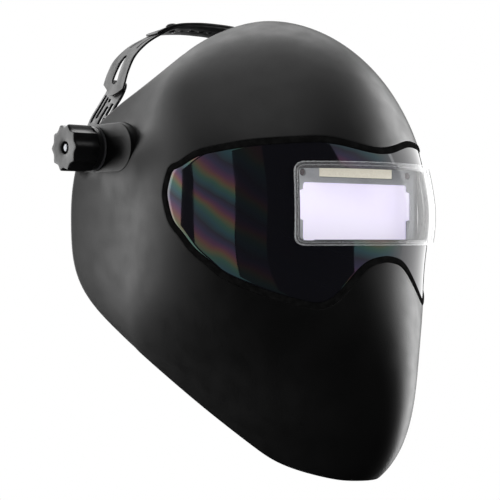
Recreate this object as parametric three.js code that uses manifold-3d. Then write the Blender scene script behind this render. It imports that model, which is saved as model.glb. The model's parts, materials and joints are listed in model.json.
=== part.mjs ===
// Flip-up welding helmet with a wrap-round visor, an auto-darkening filter and a ratchet headgear.
// Millimetres. The origin is the middle of the pivot axis.
// +X is the wearer's left, -Y is the front and +Z is up.
import * as THREE from 'three';
import Module from 'manifold-3d';
import { mergeVertices } from 'three/addons/utils/BufferGeometryUtils.js';

const wasm = await Module();
wasm.setup();

// ---------- driving dimensions ----------
const GAP = 0.35; // clearance between touching pieces

const SHELL_WALL = 2.6;
const DOME_BASE_Z = -16; // the dome's law holds above this height
const DOME_TOP_Z = 97;
const DOME_HALF_WIDTH = 111;
const DOME_CENTRE_Y = -55;
const DOME_REACH = 128; // from the dome's centre to the brow
const DOME_SLOPE_POWER = 1.2; // how the brow slopes back as it rises
const DOME_SLOPE_ROOT = 0.46;
const DOME_PLAN_POWER = 1.9;
const SIDE_FLARE = 1.5e-5; // widening of the side walls behind the widest section, per square millimetre
const CHIN_Z = -234;
const CROWN_Z = 95; // where the rear edge crosses the top of the dome

const PIVOT_PAD_X = 115.5; // outer face of the flat pad round each pivot
const PIVOT_PAD_INNER_X = 108.8;
const PIVOT_PAD_R = 18;
const PIVOT_PAD_FRONT_Y = -28.5;
const PIVOT_PAD_FACE_R = 17.5; // the wall is planed flat this far round the pad
const BUSH_BORE_R = 6.4;
const BEYOND_SIDE_X = 130; // outside every part of the shell's side

const KNOB_R = 17.4;
const KNOB_INNER_X = 118;
const KNOB_OUTER_X = 142.7;
const KNOB_SCALLOPS = 12;
const KNOB_HOLE_R = 4.6;
const STUD_R = 3.9;
const STUD_HEAD_R = 9;
const NUT_R = 7.4;
const NUT_FACE_X = KNOB_OUTER_X - 6; // end of the nut's pocket in the knob

const VISOR_AXIS_Y = -55; // vertical axis that the window outlines are drawn round
const VISOR_RADIUS = 118;
const CUTTER_INNER_R = 60; // radial cutters run through the wall between these two radii
const CUTTER_OUTER_R = 190;
const GASKET_WIDTH = 2.4;
const GASKET_PROUD = 0.5;
const VISOR_THICKNESS = 2.0;
const VISOR_SUNK = 0.3;

const COVER_HALF_WIDTH = 66;
const COVER_TOP_Z = -14.5;
const COVER_BOTTOM_Z = -70;
const COVER_RADIUS = 130; // radius round the visor axis at which the cover's half width is measured
const COVER_HEIGHT = 4.4; // how far the cover's face stands proud of the visor
const COVER_FACE = 1.5;
const COVER_WALL = 2;
const COVER_CORNER = 6;
const COVER_SEAT = 3.5; // the visor's opening is this much smaller than the cover on every side

const FILTER_FRONT_Y = -156;
const FILTER_BACK_Y = -146;
const FILTER_HALF_WIDTH = 57;
const FILTER_TOP_Z = -6;
const FILTER_BOTTOM_Z = -78;
const WINDOW_HALF_WIDTH = 49.5;
const WINDOW_TOP_Z = -27.3;
const WINDOW_BOTTOM_Z = -66.7;
const NOTCH_DEPTH = 3.5; // the window has a shallow notch in each end
const NOTCH_HALF_HEIGHT = 10.5;
const NOTCH_MIDDLE_Z = -42.5;

const BAND_HALF_WIDTH = 80;
const BAND_HALF_LENGTH = 98;
const BAND_CENTRE_Y = 8;
const BAND_HEIGHT = 30;
const BAND_THICKNESS = 2.2;

const ROUND_SEGMENTS = 7; // steps in half a turn of a small round

// ---------- curves ----------
// Natural cubic spline through the knots [[x, y], ...], x rising; held constant past both ends.
function splineThrough(knots) {
  const count = knots.length;
  const bend = new Array(count).fill(0);
  const work = new Array(count).fill(0);
  for (let i = 1; i < count - 1; i++) {
    const before = knots[i][0] - knots[i - 1][0];
    const after = knots[i + 1][0] - knots[i][0];
    const share = before / (before + after);
    const pivot = share * bend[i - 1] + 2;
    const turn = (knots[i + 1][1] - knots[i][1]) / after - (knots[i][1] - knots[i - 1][1]) / before;
    bend[i] = (share - 1) / pivot;
    work[i] = ((6 * turn) / (before + after) - share * work[i - 1]) / pivot;
  }
  for (let i = count - 2; i >= 0; i--) bend[i] = bend[i] * bend[i + 1] + work[i];
  return (x) => {
    if (x <= knots[0][0]) return knots[0][1];
    if (x >= knots[count - 1][0]) return knots[count - 1][1];
    let i = 0;
    while (x > knots[i + 1][0]) i++;
    const step = knots[i + 1][0] - knots[i][0];
    const a = (knots[i + 1][0] - x) / step;
    const b = (x - knots[i][0]) / step;
    const sag = ((a ** 3 - a) * bend[i] + (b ** 3 - b) * bend[i + 1]) * (step * step) / 6;
    return a * knots[i][1] + b * knots[i + 1][1] + sag;
  };
}

// The same spline for a list of [height, value] pairs written from the top down.
const downwards = (pairs) => splineThrough([...pairs].reverse());

const lowerHalfWidth = downwards([
  [13, 107.5], [-16, 111], [-45, 113.5], [-85, 112], [-120, 105], [-160, 88], [-200, 66], [-234, 44],
]);
const lowerFrontY = downwards([
  [13, -177.5], [-16, -183], [-48, -189.5], [-82, -186], [-112, -191], [-150, -198], [-185, -199],
  [-208, -193], [-222, -184], [-234, -170],
]);
const lowerCentreY = downwards([[-16, -55], [-85, -40], [-160, -20], [-234, -40]]);
const lowerPlanPower = downwards([
  [-16, 1.9], [-50, 2], [-90, 2], [-130, 1.75], [-170, 1.6], [-234, 1.7],
]);
// Rear edge of the shell in side view: [height, y].
const rimY = downwards([
  [97, -72], [87, -66], [78, -59.5], [59, -46], [42.5, -27], [31, -10.5], [10, 10], [-20, 21.5],
  [-60, 24], [-88, 24.5], [-104, 20], [-118, 10.5], [-147, -22.5], [-188, -71], [-215, -104.4],
  [-227, -130], [-234, -165],
]);

// The horizontal section of the shell at height z: half width, y of the widest place, depth from
// there to the front, and the power of its rounded outline.
function sectionAt(z) {
  if (z > DOME_BASE_Z) {
    const rise = Math.min(1, (z - DOME_BASE_Z) / (DOME_TOP_Z - DOME_BASE_Z));
    const half = DOME_HALF_WIDTH * Math.sqrt(1 - rise ** 2);
    const depth = DOME_REACH * (1 - rise ** DOME_SLOPE_POWER) ** DOME_SLOPE_ROOT;
    return { half, centre: DOME_CENTRE_Y, depth, power: DOME_PLAN_POWER };
  }
  const centre = lowerCentreY(z);
  const depth = centre - lowerFrontY(z);
  return { half: lowerHalfWidth(z), centre, depth, power: lowerPlanPower(z) };
}

// Half of the section from the front centre to y = back, as [x, y] points evenly spaced along the curve.
function halfSection(z, back, count) {
  const { half, centre, depth, power } = sectionAt(z);
  const dense = [];
  const turns = 90;
  for (let i = 0; i <= turns; i++) {
    const angle = (i / turns) * (Math.PI / 2);
    dense.push([half * Math.sin(angle), centre - depth * Math.cos(angle) ** (2 / power)]);
  }
  const straight = 12;
  for (let i = 1; i <= straight && back > centre; i++) {
    const y = centre + ((back - centre) * i) / straight;
    dense.push([half * (1 + SIDE_FLARE * (y - centre) ** 2), y]);
  }
  const kept = dense.filter(([, y]) => y <= back + 1e-6);
  if (kept.length < dense.length) {
    const [before, after] = [dense[Math.max(0, kept.length - 1)], dense[kept.length]];
    const share = (back - before[1]) / (after[1] - before[1]);
    kept.push([before[0] + (after[0] - before[0]) * share, back]);
  }
  const along = [0];
  for (let i = 1; i < kept.length; i++) {
    along.push(along[i - 1] + Math.hypot(kept[i][0] - kept[i - 1][0], kept[i][1] - kept[i - 1][1]));
  }
  const points = [];
  let at = 0;
  for (let k = 0; k <= count; k++) {
    const target = (along[along.length - 1] * k) / count;
    while (at < along.length - 2 && along[at + 1] < target) at++;
    const share = (target - along[at]) / Math.max(1e-9, along[at + 1] - along[at]);
    points.push([0, 1].map((c) => kept[at][c] + (kept[at + 1][c] - kept[at][c]) * Math.min(1, share)));
  }
  return points;
}

// ---------- solids ----------
function solidOf(geometry) {
  const bare = new THREE.BufferGeometry();
  bare.setAttribute('position', geometry.getAttribute('position').clone());
  if (geometry.index) bare.setIndex(geometry.index.clone());
  const merged = mergeVertices(bare, 1e-4);
  return new wasm.Manifold(
    new wasm.Mesh({
      numProp: 3,
      vertProperties: new Float32Array(merged.getAttribute('position').array),
      triVerts: new Uint32Array(merged.index.array),
    }),
  );
}

function geometryOf(solid) {
  const { vertProperties, triVerts } = solid.getMesh();
  const geometry = new THREE.BufferGeometry();
  geometry.setAttribute('position', new THREE.BufferAttribute(new Float32Array(vertProperties), 3));
  geometry.setIndex(new THREE.BufferAttribute(new Uint32Array(triVerts), 1));
  return geometry;
}

const joined = (...solids) => solids.reduce((all, next) => all.add(next));
const cut = (solid, ...tools) => tools.reduce((left, tool) => left.subtract(tool), solid);

// A closed body from a grid of points on its outer skin and the matching grid on its inner skin.
function slabBetween(outer, inner) {
  const rows = outer.length;
  const columns = outer[0].length;
  const positions = [...outer.flat(), ...inner.flat()].flat();
  const at = (skin, row, column) => (skin * rows + row) * columns + column;
  const faces = [];
  const quad = (a, b, c, d) => faces.push(a, b, c, a, c, d);
  for (let r = 0; r < rows - 1; r++) {
    for (let c = 0; c < columns - 1; c++) {
      quad(at(0, r, c), at(0, r, c + 1), at(0, r + 1, c + 1), at(0, r + 1, c));
      quad(at(1, r, c), at(1, r + 1, c), at(1, r + 1, c + 1), at(1, r, c + 1));
    }
    quad(at(0, r, 0), at(0, r + 1, 0), at(1, r + 1, 0), at(1, r, 0));
    const last = columns - 1;
    quad(at(0, r, last), at(1, r, last), at(1, r + 1, last), at(0, r + 1, last));
  }
  for (let c = 0; c < columns - 1; c++) {
    quad(at(0, 0, c), at(1, 0, c), at(1, 0, c + 1), at(0, 0, c + 1));
    const top = rows - 1;
    quad(at(0, top, c), at(0, top, c + 1), at(1, top, c + 1), at(1, top, c));
  }
  const geometry = new THREE.BufferGeometry();
  geometry.setAttribute('position', new THREE.BufferAttribute(new Float32Array(positions), 3));
  geometry.setIndex(faces);
  return solidOf(geometry);
}

function extruded(shape, depth, curveSegments) {
  return new THREE.ExtrudeGeometry(shape, { depth, bevelEnabled: false, curveSegments });
}

// A shape drawn in (y, z), extruded along X from x0 to x1.
function plateX(shape, x0, x1, curveSegments = ROUND_SEGMENTS) {
  const basis = new THREE.Matrix4().makeBasis(
    new THREE.Vector3(0, 1, 0), new THREE.Vector3(0, 0, 1), new THREE.Vector3(1, 0, 0),
  );
  return solidOf(extruded(shape, x1 - x0, curveSegments).applyMatrix4(basis.setPosition(x0, 0, 0)));
}

// A shape drawn in (x, z), extruded along Y from y0 to y1.
function plateY(shape, y0, y1, curveSegments = ROUND_SEGMENTS) {
  const basis = new THREE.Matrix4().makeBasis(
    new THREE.Vector3(1, 0, 0), new THREE.Vector3(0, 0, 1), new THREE.Vector3(0, -1, 0),
  );
  return solidOf(extruded(shape, y1 - y0, curveSegments).applyMatrix4(basis.setPosition(0, y1, 0)));
}

function disc(radius, centreA = 0, centreB = 0) {
  return new THREE.Shape().absarc(centreA, centreB, radius, 0, Math.PI * 2);
}

function ring(outerR, innerR, centreA = 0, centreB = 0) {
  const shape = disc(outerR, centreA, centreB);
  shape.holes.push(disc(innerR, centreA, centreB));
  return shape;
}

// A rectangle with round corners, centred on (a, b).
function roundedRectangle(a, b, halfA, halfB, corner) {
  const shape = new THREE.Shape();
  shape.absarc(a + halfA - corner, b - halfB + corner, corner, -Math.PI / 2, 0);
  shape.absarc(a + halfA - corner, b + halfB - corner, corner, 0, Math.PI / 2);
  shape.absarc(a - halfA + corner, b + halfB - corner, corner, Math.PI / 2, Math.PI);
  shape.absarc(a - halfA + corner, b - halfB + corner, corner, Math.PI, Math.PI * 1.5);
  return shape;
}

// A strip of rectangular section swept along stations of { at, across, out }, closed at both ends.
function strip(stations, halfWidth, thickness) {
  const corner = (station, side, lift) =>
    [0, 1, 2].map((c) => station.at[c] + station.across[c] * side * halfWidth + station.out[c] * lift);
  const outer = stations.map((s) => [corner(s, -1, thickness), corner(s, 1, thickness)]);
  const inner = stations.map((s) => [corner(s, -1, 0), corner(s, 1, 0)]);
  return slabBetween(outer, inner);
}

const unit = (v) => {
  const length = Math.hypot(...v);
  return v.map((c) => c / length);
};
const cross = (a, b) => [
  a[1] * b[2] - a[2] * b[1], a[2] * b[0] - a[0] * b[2], a[0] * b[1] - a[1] * b[0],
];

// The frame whose first two axes lie in a station's strip and whose third points out of it.
function stationBasis(station, lift) {
  const axes = [station.across, station.along, station.out].map((axis) => new THREE.Vector3(...axis));
  const place = station.at.map((c, i) => c + station.out[i] * lift);
  return new THREE.Matrix4().makeBasis(...axes).setPosition(...place);
}

// Stations along a smooth curve through points. A station's `across` is square to the curve and
// as near `towards` as it can be, and its `out` points to the side of towards x along.
function stationsAlong(points, towards, count) {
  const curve = new THREE.CatmullRomCurve3(points.map((p) => new THREE.Vector3(...p)), false, 'centripetal');
  const stations = [];
  for (let i = 0; i <= count; i++) {
    const share = i / count;
    const along = curve.getTangentAt(share).toArray();
    const out = unit(cross(towards, along));
    stations.push({ at: curve.getPointAt(share).toArray(), across: unit(cross(along, out)), along, out });
  }
  return stations;
}

// ---------- the shell's skin ----------
const SKIN_COLUMNS = 14; // on each side of the centre
const SKIN_ROWS = 24;
const FRONT_COLUMNS = 10;
const FRONT_ROWS = 8;
const FRONT_BACK_Y = -30; // the front skin is the stretch that holds the window
const FRONT_BOTTOM_Z = -124;
const FRONT_TOP_Z = 16;

// Grid of points on the shell: rows from the bottom up, closer together towards the chin and the
// crown, and columns from the wearer's right to the left.
function skinGrid(backAt, bottomZ, topZ, rows, columns) {
  const middleZ = (CHIN_Z + DOME_TOP_Z) / 2;
  const reach = (DOME_TOP_Z - CHIN_Z) / 2;
  const topAngle = Math.acos((topZ - middleZ) / reach);
  const bottomAngle = Math.acos((bottomZ - middleZ) / reach);
  const grid = [];
  for (let r = 0; r <= rows; r++) {
    const angle = bottomAngle + ((topAngle - bottomAngle) * r) / rows;
    const z = middleZ + reach * Math.cos(angle);
    const half = halfSection(z, backAt(z), columns);
    const right = half.slice(1).reverse().map(([x, y]) => [-x, y, z]);
    grid.push([...right, ...half.map(([x, y]) => [x, y, z])]);
  }
  return grid;
}

// The same grid moved inwards along its own normals.
function sunk(grid, depth) {
  const rows = grid.length;
  const columns = grid[0].length;
  const clampRow = (r) => Math.min(rows - 1, Math.max(0, r));
  const clampColumn = (c) => Math.min(columns - 1, Math.max(0, c));
  return grid.map((line, r) =>
    line.map((point, c) => {
      const across = [0, 1, 2].map((k) => line[clampColumn(c + 1)][k] - line[clampColumn(c - 1)][k]);
      const up = [0, 1, 2].map((k) => grid[clampRow(r + 1)][c][k] - grid[clampRow(r - 1)][c][k]);
      const normal = unit(cross(across, up));
      return [0, 1, 2].map((k) => point[k] - normal[k] * depth);
    }),
  );
}

// ---------- window outlines, drawn as [turn in degrees, height] round the visor axis ----------
const windowTop = splineThrough([
  [0, -4], [5, -2.8], [11.7, 0.2], [18.3, 2.7], [24.8, 2.8], [34.5, 1.8], [44.5, 0.3], [57, -3.3],
  [66.9, -8.3], [73.4, -14.2], [77.1, -21.8], [78.3, -31],
]);
const windowBottom = splineThrough([
  [0, -80.9], [3, -81.8], [6.3, -83.9], [9.9, -89.9], [13.4, -98.3], [16.6, -105.6], [19.6, -110.2],
  [23.1, -112.2], [26.9, -110.9], [31.4, -108.6], [39.4, -103.7], [47.9, -97.4], [54.7, -91.1],
  [60.5, -82.3], [66.3, -73.5], [71.9, -61.1], [75.9, -50.7], [78.3, -36],
]);
const WINDOW_END = 78.3;
const WINDOW_COLUMNS = 17; // on each side of the centre

// Closed loop of [distance round, height], counter-clockwise from outside, grown outwards by `grow`.
function windowLoop(grow) {
  const turns = [];
  for (let i = -WINDOW_COLUMNS; i <= WINDOW_COLUMNS; i++) {
    const share = Math.abs(i) / WINDOW_COLUMNS;
    turns.push(Math.sign(i) * WINDOW_END * Math.sin((share * Math.PI) / 2));
  }
  const toPlane = (turn, z) => [THREE.MathUtils.degToRad(turn) * VISOR_RADIUS, z];
  const bottom = turns.map((turn) => toPlane(turn, windowBottom(Math.abs(turn))));
  const top = turns.map((turn) => toPlane(turn, windowTop(Math.abs(turn)))).reverse();
  return grownLoop([...bottom, ...top], grow);
}

function grownLoop(loop, grow) {
  return loop.map((point, i) => {
    const before = loop[(i + loop.length - 1) % loop.length];
    const after = loop[(i + 1) % loop.length];
    const first = unit([point[1] - before[1], before[0] - point[0]]);
    const second = unit([after[1] - point[1], point[0] - after[0]]);
    const middle = unit([first[0] + second[0], first[1] + second[1]]);
    const reach = grow / Math.max(0.6, first[0] * middle[0] + first[1] * middle[1]);
    return [point[0] + middle[0] * reach, point[1] + middle[1] * reach];
  });
}

// A radial cutter whose cross-section is the loop: the loop's first half runs along the bottom and
// its second half back along the top. `margin` lengthens the cutter at both ends.
function radialBlock(loop, margin = 0) {
  const columns = loop.length / 2;
  const place = ([round, z], radius) => {
    const turn = round / VISOR_RADIUS;
    return [radius * Math.sin(turn), VISOR_AXIS_Y - radius * Math.cos(turn), z];
  };
  const rowsAt = (radius) => [
    loop.slice(0, columns).map((p) => place(p, radius)),
    loop.slice(columns).reverse().map((p) => place(p, radius)),
  ];
  return slabBetween(rowsAt(CUTTER_OUTER_R + margin), rowsAt(CUTTER_INNER_R - margin));
}

const coverHalfRound = Math.asin(COVER_HALF_WIDTH / COVER_RADIUS) * VISOR_RADIUS;
const CUT_MARGIN = 10;

function coverLoop(grow) {
  const columns = 12;
  const bottom = [];
  const top = [];
  for (let i = 0; i <= columns; i++) {
    const share = Math.sin(((i / columns) * 2 - 1) * (Math.PI / 2));
    const round = share * coverHalfRound;
    const past = Math.max(0, Math.abs(round) - (coverHalfRound - COVER_CORNER));
    const lift = COVER_CORNER - Math.sqrt(Math.max(0, COVER_CORNER ** 2 - past ** 2));
    bottom.push([round, COVER_BOTTOM_Z + lift]);
    top.unshift([round, COVER_TOP_Z - lift]);
  }
  return grownLoop([...bottom, ...top], grow);
}

// ---------- shell body ----------
const pieces = [];
function add(name, solid, colour, roughness = 0.5, metalness = 0) {
  const material = new THREE.MeshStandardMaterial({ color: colour, roughness, metalness });
  const mesh = new THREE.Mesh(geometryOf(solid), material);
  mesh.name = name;
  pieces.push(mesh);
}

const SIDES = [['right', -1], ['left', 1]];
const mirrored = (solid, side) => (side < 0 ? solid : solid.mirror([1, 0, 0]));

const skin = skinGrid(rimY, CHIN_Z, CROWN_Z, SKIN_ROWS, SKIN_COLUMNS);
const frontSkin = skinGrid(() => FRONT_BACK_Y, FRONT_BOTTOM_Z, FRONT_TOP_Z, FRONT_ROWS, FRONT_COLUMNS);

const PAD_SEGMENTS = 8;
function padOutline(radius) {
  const pad = new THREE.Shape();
  pad.absarc(0, 0, radius, -Math.PI / 2, Math.PI / 2);
  pad.absarc(PIVOT_PAD_FRONT_Y, 0, radius, Math.PI / 2, Math.PI * 1.5);
  return pad;
}
const pivotPad = () => plateX(padOutline(PIVOT_PAD_R), -PIVOT_PAD_X, -PIVOT_PAD_INNER_X, PAD_SEGMENTS);

const padPlane = () => plateX(padOutline(PIVOT_PAD_FACE_R), -BEYOND_SIDE_X, -PIVOT_PAD_X, PAD_SEGMENTS);

function helmetShell() {
  const wall = slabBetween(skin, sunk(skin, SHELL_WALL));
  const window = radialBlock(windowLoop(0));
  const pads = SIDES.map(([, side]) => mirrored(pivotPad(), side));
  const bores = plateX(disc(BUSH_BORE_R), -BEYOND_SIDE_X, BEYOND_SIDE_X);
  const planes = SIDES.map(([, side]) => mirrored(padPlane(), side));
  return cut(joined(wall, ...pads), window, bores, ...planes);
}

// The layer of the front skin between two depths below the surface; a negative depth stands proud.
const layer = (outerDepth, innerDepth) =>
  slabBetween(sunk(frontSkin, outerDepth), sunk(frontSkin, innerDepth));

function visorGasket() {
  const lip = cut(radialBlock(windowLoop(-GAP)), radialBlock(windowLoop(-GASKET_WIDTH), CUT_MARGIN));
  return lip.intersect(layer(-GASKET_PROUD, SHELL_WALL + GASKET_PROUD));
}

function panoramicVisor() {
  const outline = radialBlock(windowLoop(-GASKET_WIDTH - 2 * GAP));
  const sheet = outline.intersect(layer(VISOR_SUNK, VISOR_SUNK + VISOR_THICKNESS));
  return cut(sheet, radialBlock(coverLoop(-COVER_SEAT), CUT_MARGIN));
}

function frontCoverLens() {
  const belowVisor = 3;
  const block = radialBlock(coverLoop(0)).intersect(layer(-COVER_HEIGHT, -GAP));
  const inside = radialBlock(coverLoop(-COVER_WALL), CUT_MARGIN);
  return cut(block, inside.intersect(layer(COVER_FACE - COVER_HEIGHT, belowVisor)));
}

add('helmet_shell', helmetShell(), 0x54565b, 0.55);
add('visor_gasket', visorGasket(), 0x101010, 0.8);
add('panoramic_visor', panoramicVisor(), 0x14161a, 0.08);
add('front_cover_lens', frontCoverLens(), 0xdfe6ea, 0.05);

// ---------- auto-darkening filter ----------
const filterMiddleZ = (FILTER_TOP_Z + FILTER_BOTTOM_Z) / 2;
const filterHalfHeight = (FILTER_TOP_Z - FILTER_BOTTOM_Z) / 2;
const windowMiddleZ = (WINDOW_TOP_Z + WINDOW_BOTTOM_Z) / 2;
const windowHalfHeight = (WINDOW_TOP_Z - WINDOW_BOTTOM_Z) / 2;
const GLASS_LIP = 2; // the glass reaches this far behind the case above and below the window
const GLASS_HALF_WIDTH = WINDOW_HALF_WIDTH + NOTCH_DEPTH + 1;
const GLASS_FRONT_Y = FILTER_FRONT_Y + 1.8;
const GLASS_THICKNESS = 3.4;
const SOLAR_HALF_WIDTH = 34.5;
const SOLAR_HALF_HEIGHT = 4;
const SOLAR_MIDDLE_Z = -19;
const SENSOR_X = 50;
const SENSOR_Z = -20.5;
const SENSOR_R = 2.2;
const CELL_FRONT_Y = FILTER_FRONT_Y + 0.3; // the solar cell and the sensors
const CELL_THICKNESS = 1.6;
const BOARD_MIDDLE_Z = -16.5;
const BOARD_HALF_WIDTH = 52;
const BOARD_HALF_HEIGHT = 6.6;
const BOARD_FRONT_Y = FILTER_FRONT_Y + 2.9;
const BOARD_THICKNESS = 1.4;
const BATTERY_X = 44;
const BATTERY_R = 6;
const BATTERY_THICKNESS = 2.8;
const HOLDER_FRONT_Y = -150.5;
const HOLDER_BACK_Y = -143;
const HOLDER_BORDER = 9; // at the ends
const HOLDER_BORDER_Z = 4; // above and below
const HOLDER_ARM_HEIGHT = 26;
const RETAINER_FRONT_Y = -142.6;
const RETAINER_THICKNESS = 1.8;
const LENS_FRONT_Y = FILTER_BACK_Y + GAP;
const LENS_THICKNESS = 1.2;
const DIAL_X = 24;
const DIAL_R = 7.5;
const DIAL_SHAFT_R = 2.1;
const DIAL_FRONT_Y = -140.4;
const DIAL_DISC = 4.9;
const DIAL_GRIP = 3;
const DIAL_SHAFT_TIP_Y = -145.6;

const rectangleY = (x, z, halfX, halfZ, corner, y0, y1) =>
  plateY(roundedRectangle(x, z, halfX, halfZ, corner), y0, y1, 2);

// A plate the size of the whole cartridge grown by `grow`, and one the size of its window.
const cartridgeY = (grow, corner, y0, y1) =>
  rectangleY(0, filterMiddleZ, FILTER_HALF_WIDTH + grow, filterHalfHeight + grow, corner, y0, y1);
const windowY = (grow, corner, y0, y1) =>
  rectangleY(0, windowMiddleZ, WINDOW_HALF_WIDTH + grow, windowHalfHeight + grow, corner, y0, y1);

const glassBlock = (grow, y0, y1) =>
  rectangleY(0, windowMiddleZ, GLASS_HALF_WIDTH + grow, windowHalfHeight + GLASS_LIP + grow, 1, y0, y1);
const solarBlock = (grow, y0, y1) =>
  rectangleY(0, SOLAR_MIDDLE_Z, SOLAR_HALF_WIDTH + grow, SOLAR_HALF_HEIGHT + grow, 0.5, y0, y1);
const boardBlock = (grow, y0, y1) =>
  rectangleY(0, BOARD_MIDDLE_Z, BOARD_HALF_WIDTH + grow, BOARD_HALF_HEIGHT + grow, 0.5, y0, y1);

function holderArm() {
  const root = FILTER_HALF_WIDTH + HOLDER_BORDER - 3;
  const outline = new THREE.Shape();
  outline.moveTo(root, -146);
  outline.lineTo(root, -150);
  outline.lineTo(86, -122);
  outline.lineTo(83, -120);
  const bottom = filterMiddleZ - HOLDER_ARM_HEIGHT / 2;
  return solidOf(extruded(outline, HOLDER_ARM_HEIGHT, 4).translate(0, 0, bottom));
}

function filterHolder() {
  const halfX = FILTER_HALF_WIDTH + HOLDER_BORDER;
  const halfZ = filterHalfHeight + HOLDER_BORDER_Z;
  const frame = rectangleY(0, filterMiddleZ, halfX, halfZ, HOLDER_BORDER, HOLDER_FRONT_Y, HOLDER_BACK_Y);
  const opening = cartridgeY(GAP, 4, HOLDER_FRONT_Y - 1, HOLDER_BACK_Y + 1);
  return joined(cut(frame, opening), holderArm(), holderArm().mirror([1, 0, 0]));
}

function cartridgeCase() {
  const outside = FILTER_FRONT_Y - 1;
  const behind = FILTER_BACK_Y + 1;
  const cellPocket = CELL_FRONT_Y + CELL_THICKNESS + 1;
  const notches = rectangleY(
    0, NOTCH_MIDDLE_Z, WINDOW_HALF_WIDTH + NOTCH_DEPTH, NOTCH_HALF_HEIGHT, 1, outside, GLASS_FRONT_Y,
  );
  const sensorPocket = (side) =>
    plateY(disc(SENSOR_R + GAP, side * SENSOR_X, SENSOR_Z), outside, cellPocket);
  return cut(
    cartridgeY(0, 4, FILTER_FRONT_Y, FILTER_BACK_Y),
    glassBlock(GAP, GLASS_FRONT_Y - GAP, behind),
    windowY(0, 2, outside, behind),
    notches,
    boardBlock(0.8, BOARD_FRONT_Y - 0.7, behind),
    solarBlock(GAP, outside, cellPocket),
    sensorPocket(-1),
    sensorPocket(1),
  );
}

function arcSensor(side) {
  return plateY(disc(SENSOR_R, side * SENSOR_X, SENSOR_Z), CELL_FRONT_Y, CELL_FRONT_Y + CELL_THICKNESS);
}

function battery(side) {
  const front = BOARD_FRONT_Y + BOARD_THICKNESS + GAP;
  return plateY(disc(BATTERY_R, side * BATTERY_X, BOARD_MIDDLE_Z), front, front + BATTERY_THICKNESS);
}

function filterRetainer() {
  const plate = cartridgeY(2, 5, RETAINER_FRONT_Y, RETAINER_FRONT_Y + RETAINER_THICKNESS);
  const window = windowY(-1, 2, RETAINER_FRONT_Y - 1, RETAINER_FRONT_Y + RETAINER_THICKNESS + 1);
  const shafts = [-DIAL_X, DIAL_X].map((x) =>
    plateY(disc(DIAL_SHAFT_R + 0.5, x, BOARD_MIDDLE_Z), RETAINER_FRONT_Y - 1, RETAINER_FRONT_Y + 3, 4));
  return cut(plate, window, ...shafts);
}

function dial(x) {
  const discBack = DIAL_FRONT_Y + DIAL_DISC;
  const body = plateY(disc(DIAL_R, x, BOARD_MIDDLE_Z), DIAL_FRONT_Y, discBack);
  const grip = rectangleY(x, BOARD_MIDDLE_Z, 1.3, DIAL_R - 1, 1, discBack - 0.5, discBack + DIAL_GRIP);
  const shaft = plateY(disc(DIAL_SHAFT_R, x, BOARD_MIDDLE_Z), DIAL_SHAFT_TIP_Y, DIAL_FRONT_Y + 0.5, 4);
  return joined(body, grip, shaft);
}

add('filter_holder', filterHolder(), 0x8b8e90, 0.5);
add('cartridge_case', cartridgeCase(), 0x8b8e90, 0.4);
add('filter_glass', glassBlock(0, GLASS_FRONT_Y, GLASS_FRONT_Y + GLASS_THICKNESS), 0xe6dff2, 0.1);
add('solar_cell', solarBlock(0, CELL_FRONT_Y, CELL_FRONT_Y + CELL_THICKNESS), 0xcdc6ac, 0.3);
add('circuit_board', boardBlock(0, BOARD_FRONT_Y, BOARD_FRONT_Y + BOARD_THICKNESS), 0x1f5a34, 0.5);
for (const [name, side] of SIDES) {
  add(`arc_sensor_${name}`, arcSensor(side), 0x2a1c30, 0.2);
  add(`battery_${name}`, battery(side), 0xb9bcc0, 0.3, 1);
}
const innerCoverLens = windowY(GLASS_LIP + 0.7, 2, LENS_FRONT_Y, LENS_FRONT_Y + LENS_THICKNESS);
add('inner_cover_lens', innerCoverLens, 0xdfe8ec, 0.05);
add('filter_retainer', filterRetainer(), 0x1b1c1e, 0.5);
add('shade_dial', dial(-DIAL_X), 0x232426, 0.5);
add('sensitivity_dial', dial(DIAL_X), 0x232426, 0.5);

// ---------- pivots, drawn on the wearer's right ----------
// Outline of a gear or a scalloped knob: a circle whose radius dips `depth` between `count` crests.
function wavyDisc(radius, depth, count, centreB, stepsPerWave) {
  const outline = new THREE.Shape();
  const steps = count * stepsPerWave;
  for (let i = 0; i < steps; i++) {
    const turn = (i / steps) * Math.PI * 2;
    const dip = depth * (0.5 - 0.5 * Math.cos(turn * count)) ** 2;
    const point = [(radius - dip) * Math.cos(turn), centreB + (radius - dip) * Math.sin(turn)];
    if (i === 0) outline.moveTo(...point);
    else outline.lineTo(...point);
  }
  return outline;
}

const KNOB_COLLAR = 4; // plain foot of the knob, below its grip
const KNOB_SCALLOP_DEPTH = 1.1;
const BUSH_FLANGE_R = 10;
const STUD_TIP_X = KNOB_OUTER_X - 3;
const STUD_HEAD_X = [-102.7, -99.5];
const WASHER_X = [-117.6, -116.3];
const WASHER_R = 16.6;
const ANGLE_STOP_X = [-106.8, -105.6];
const ANGLE_STOP_R = 12;
const STOP_PIN_R = 1.8;

function knobBody() {
  const foot = -KNOB_INNER_X - KNOB_COLLAR;
  const grip = plateX(wavyDisc(KNOB_R, KNOB_SCALLOP_DEPTH, KNOB_SCALLOPS, 0, 4), -KNOB_OUTER_X, foot);
  const collar = plateX(disc(KNOB_R - 1.4), foot, -KNOB_INNER_X, 14);
  const nutPocket = plateX(disc(NUT_R), -NUT_FACE_X, -KNOB_INNER_X + 1);
  const mouth = plateX(disc(KNOB_HOLE_R), -KNOB_OUTER_X - 1, -NUT_FACE_X + 1);
  return cut(joined(grip, collar), nutPocket, mouth);
}

function pivotStud() {
  const shank = plateX(disc(STUD_R), -STUD_TIP_X, STUD_HEAD_X[0] + 1);
  return joined(shank, plateX(disc(STUD_HEAD_R), ...STUD_HEAD_X));
}

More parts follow.
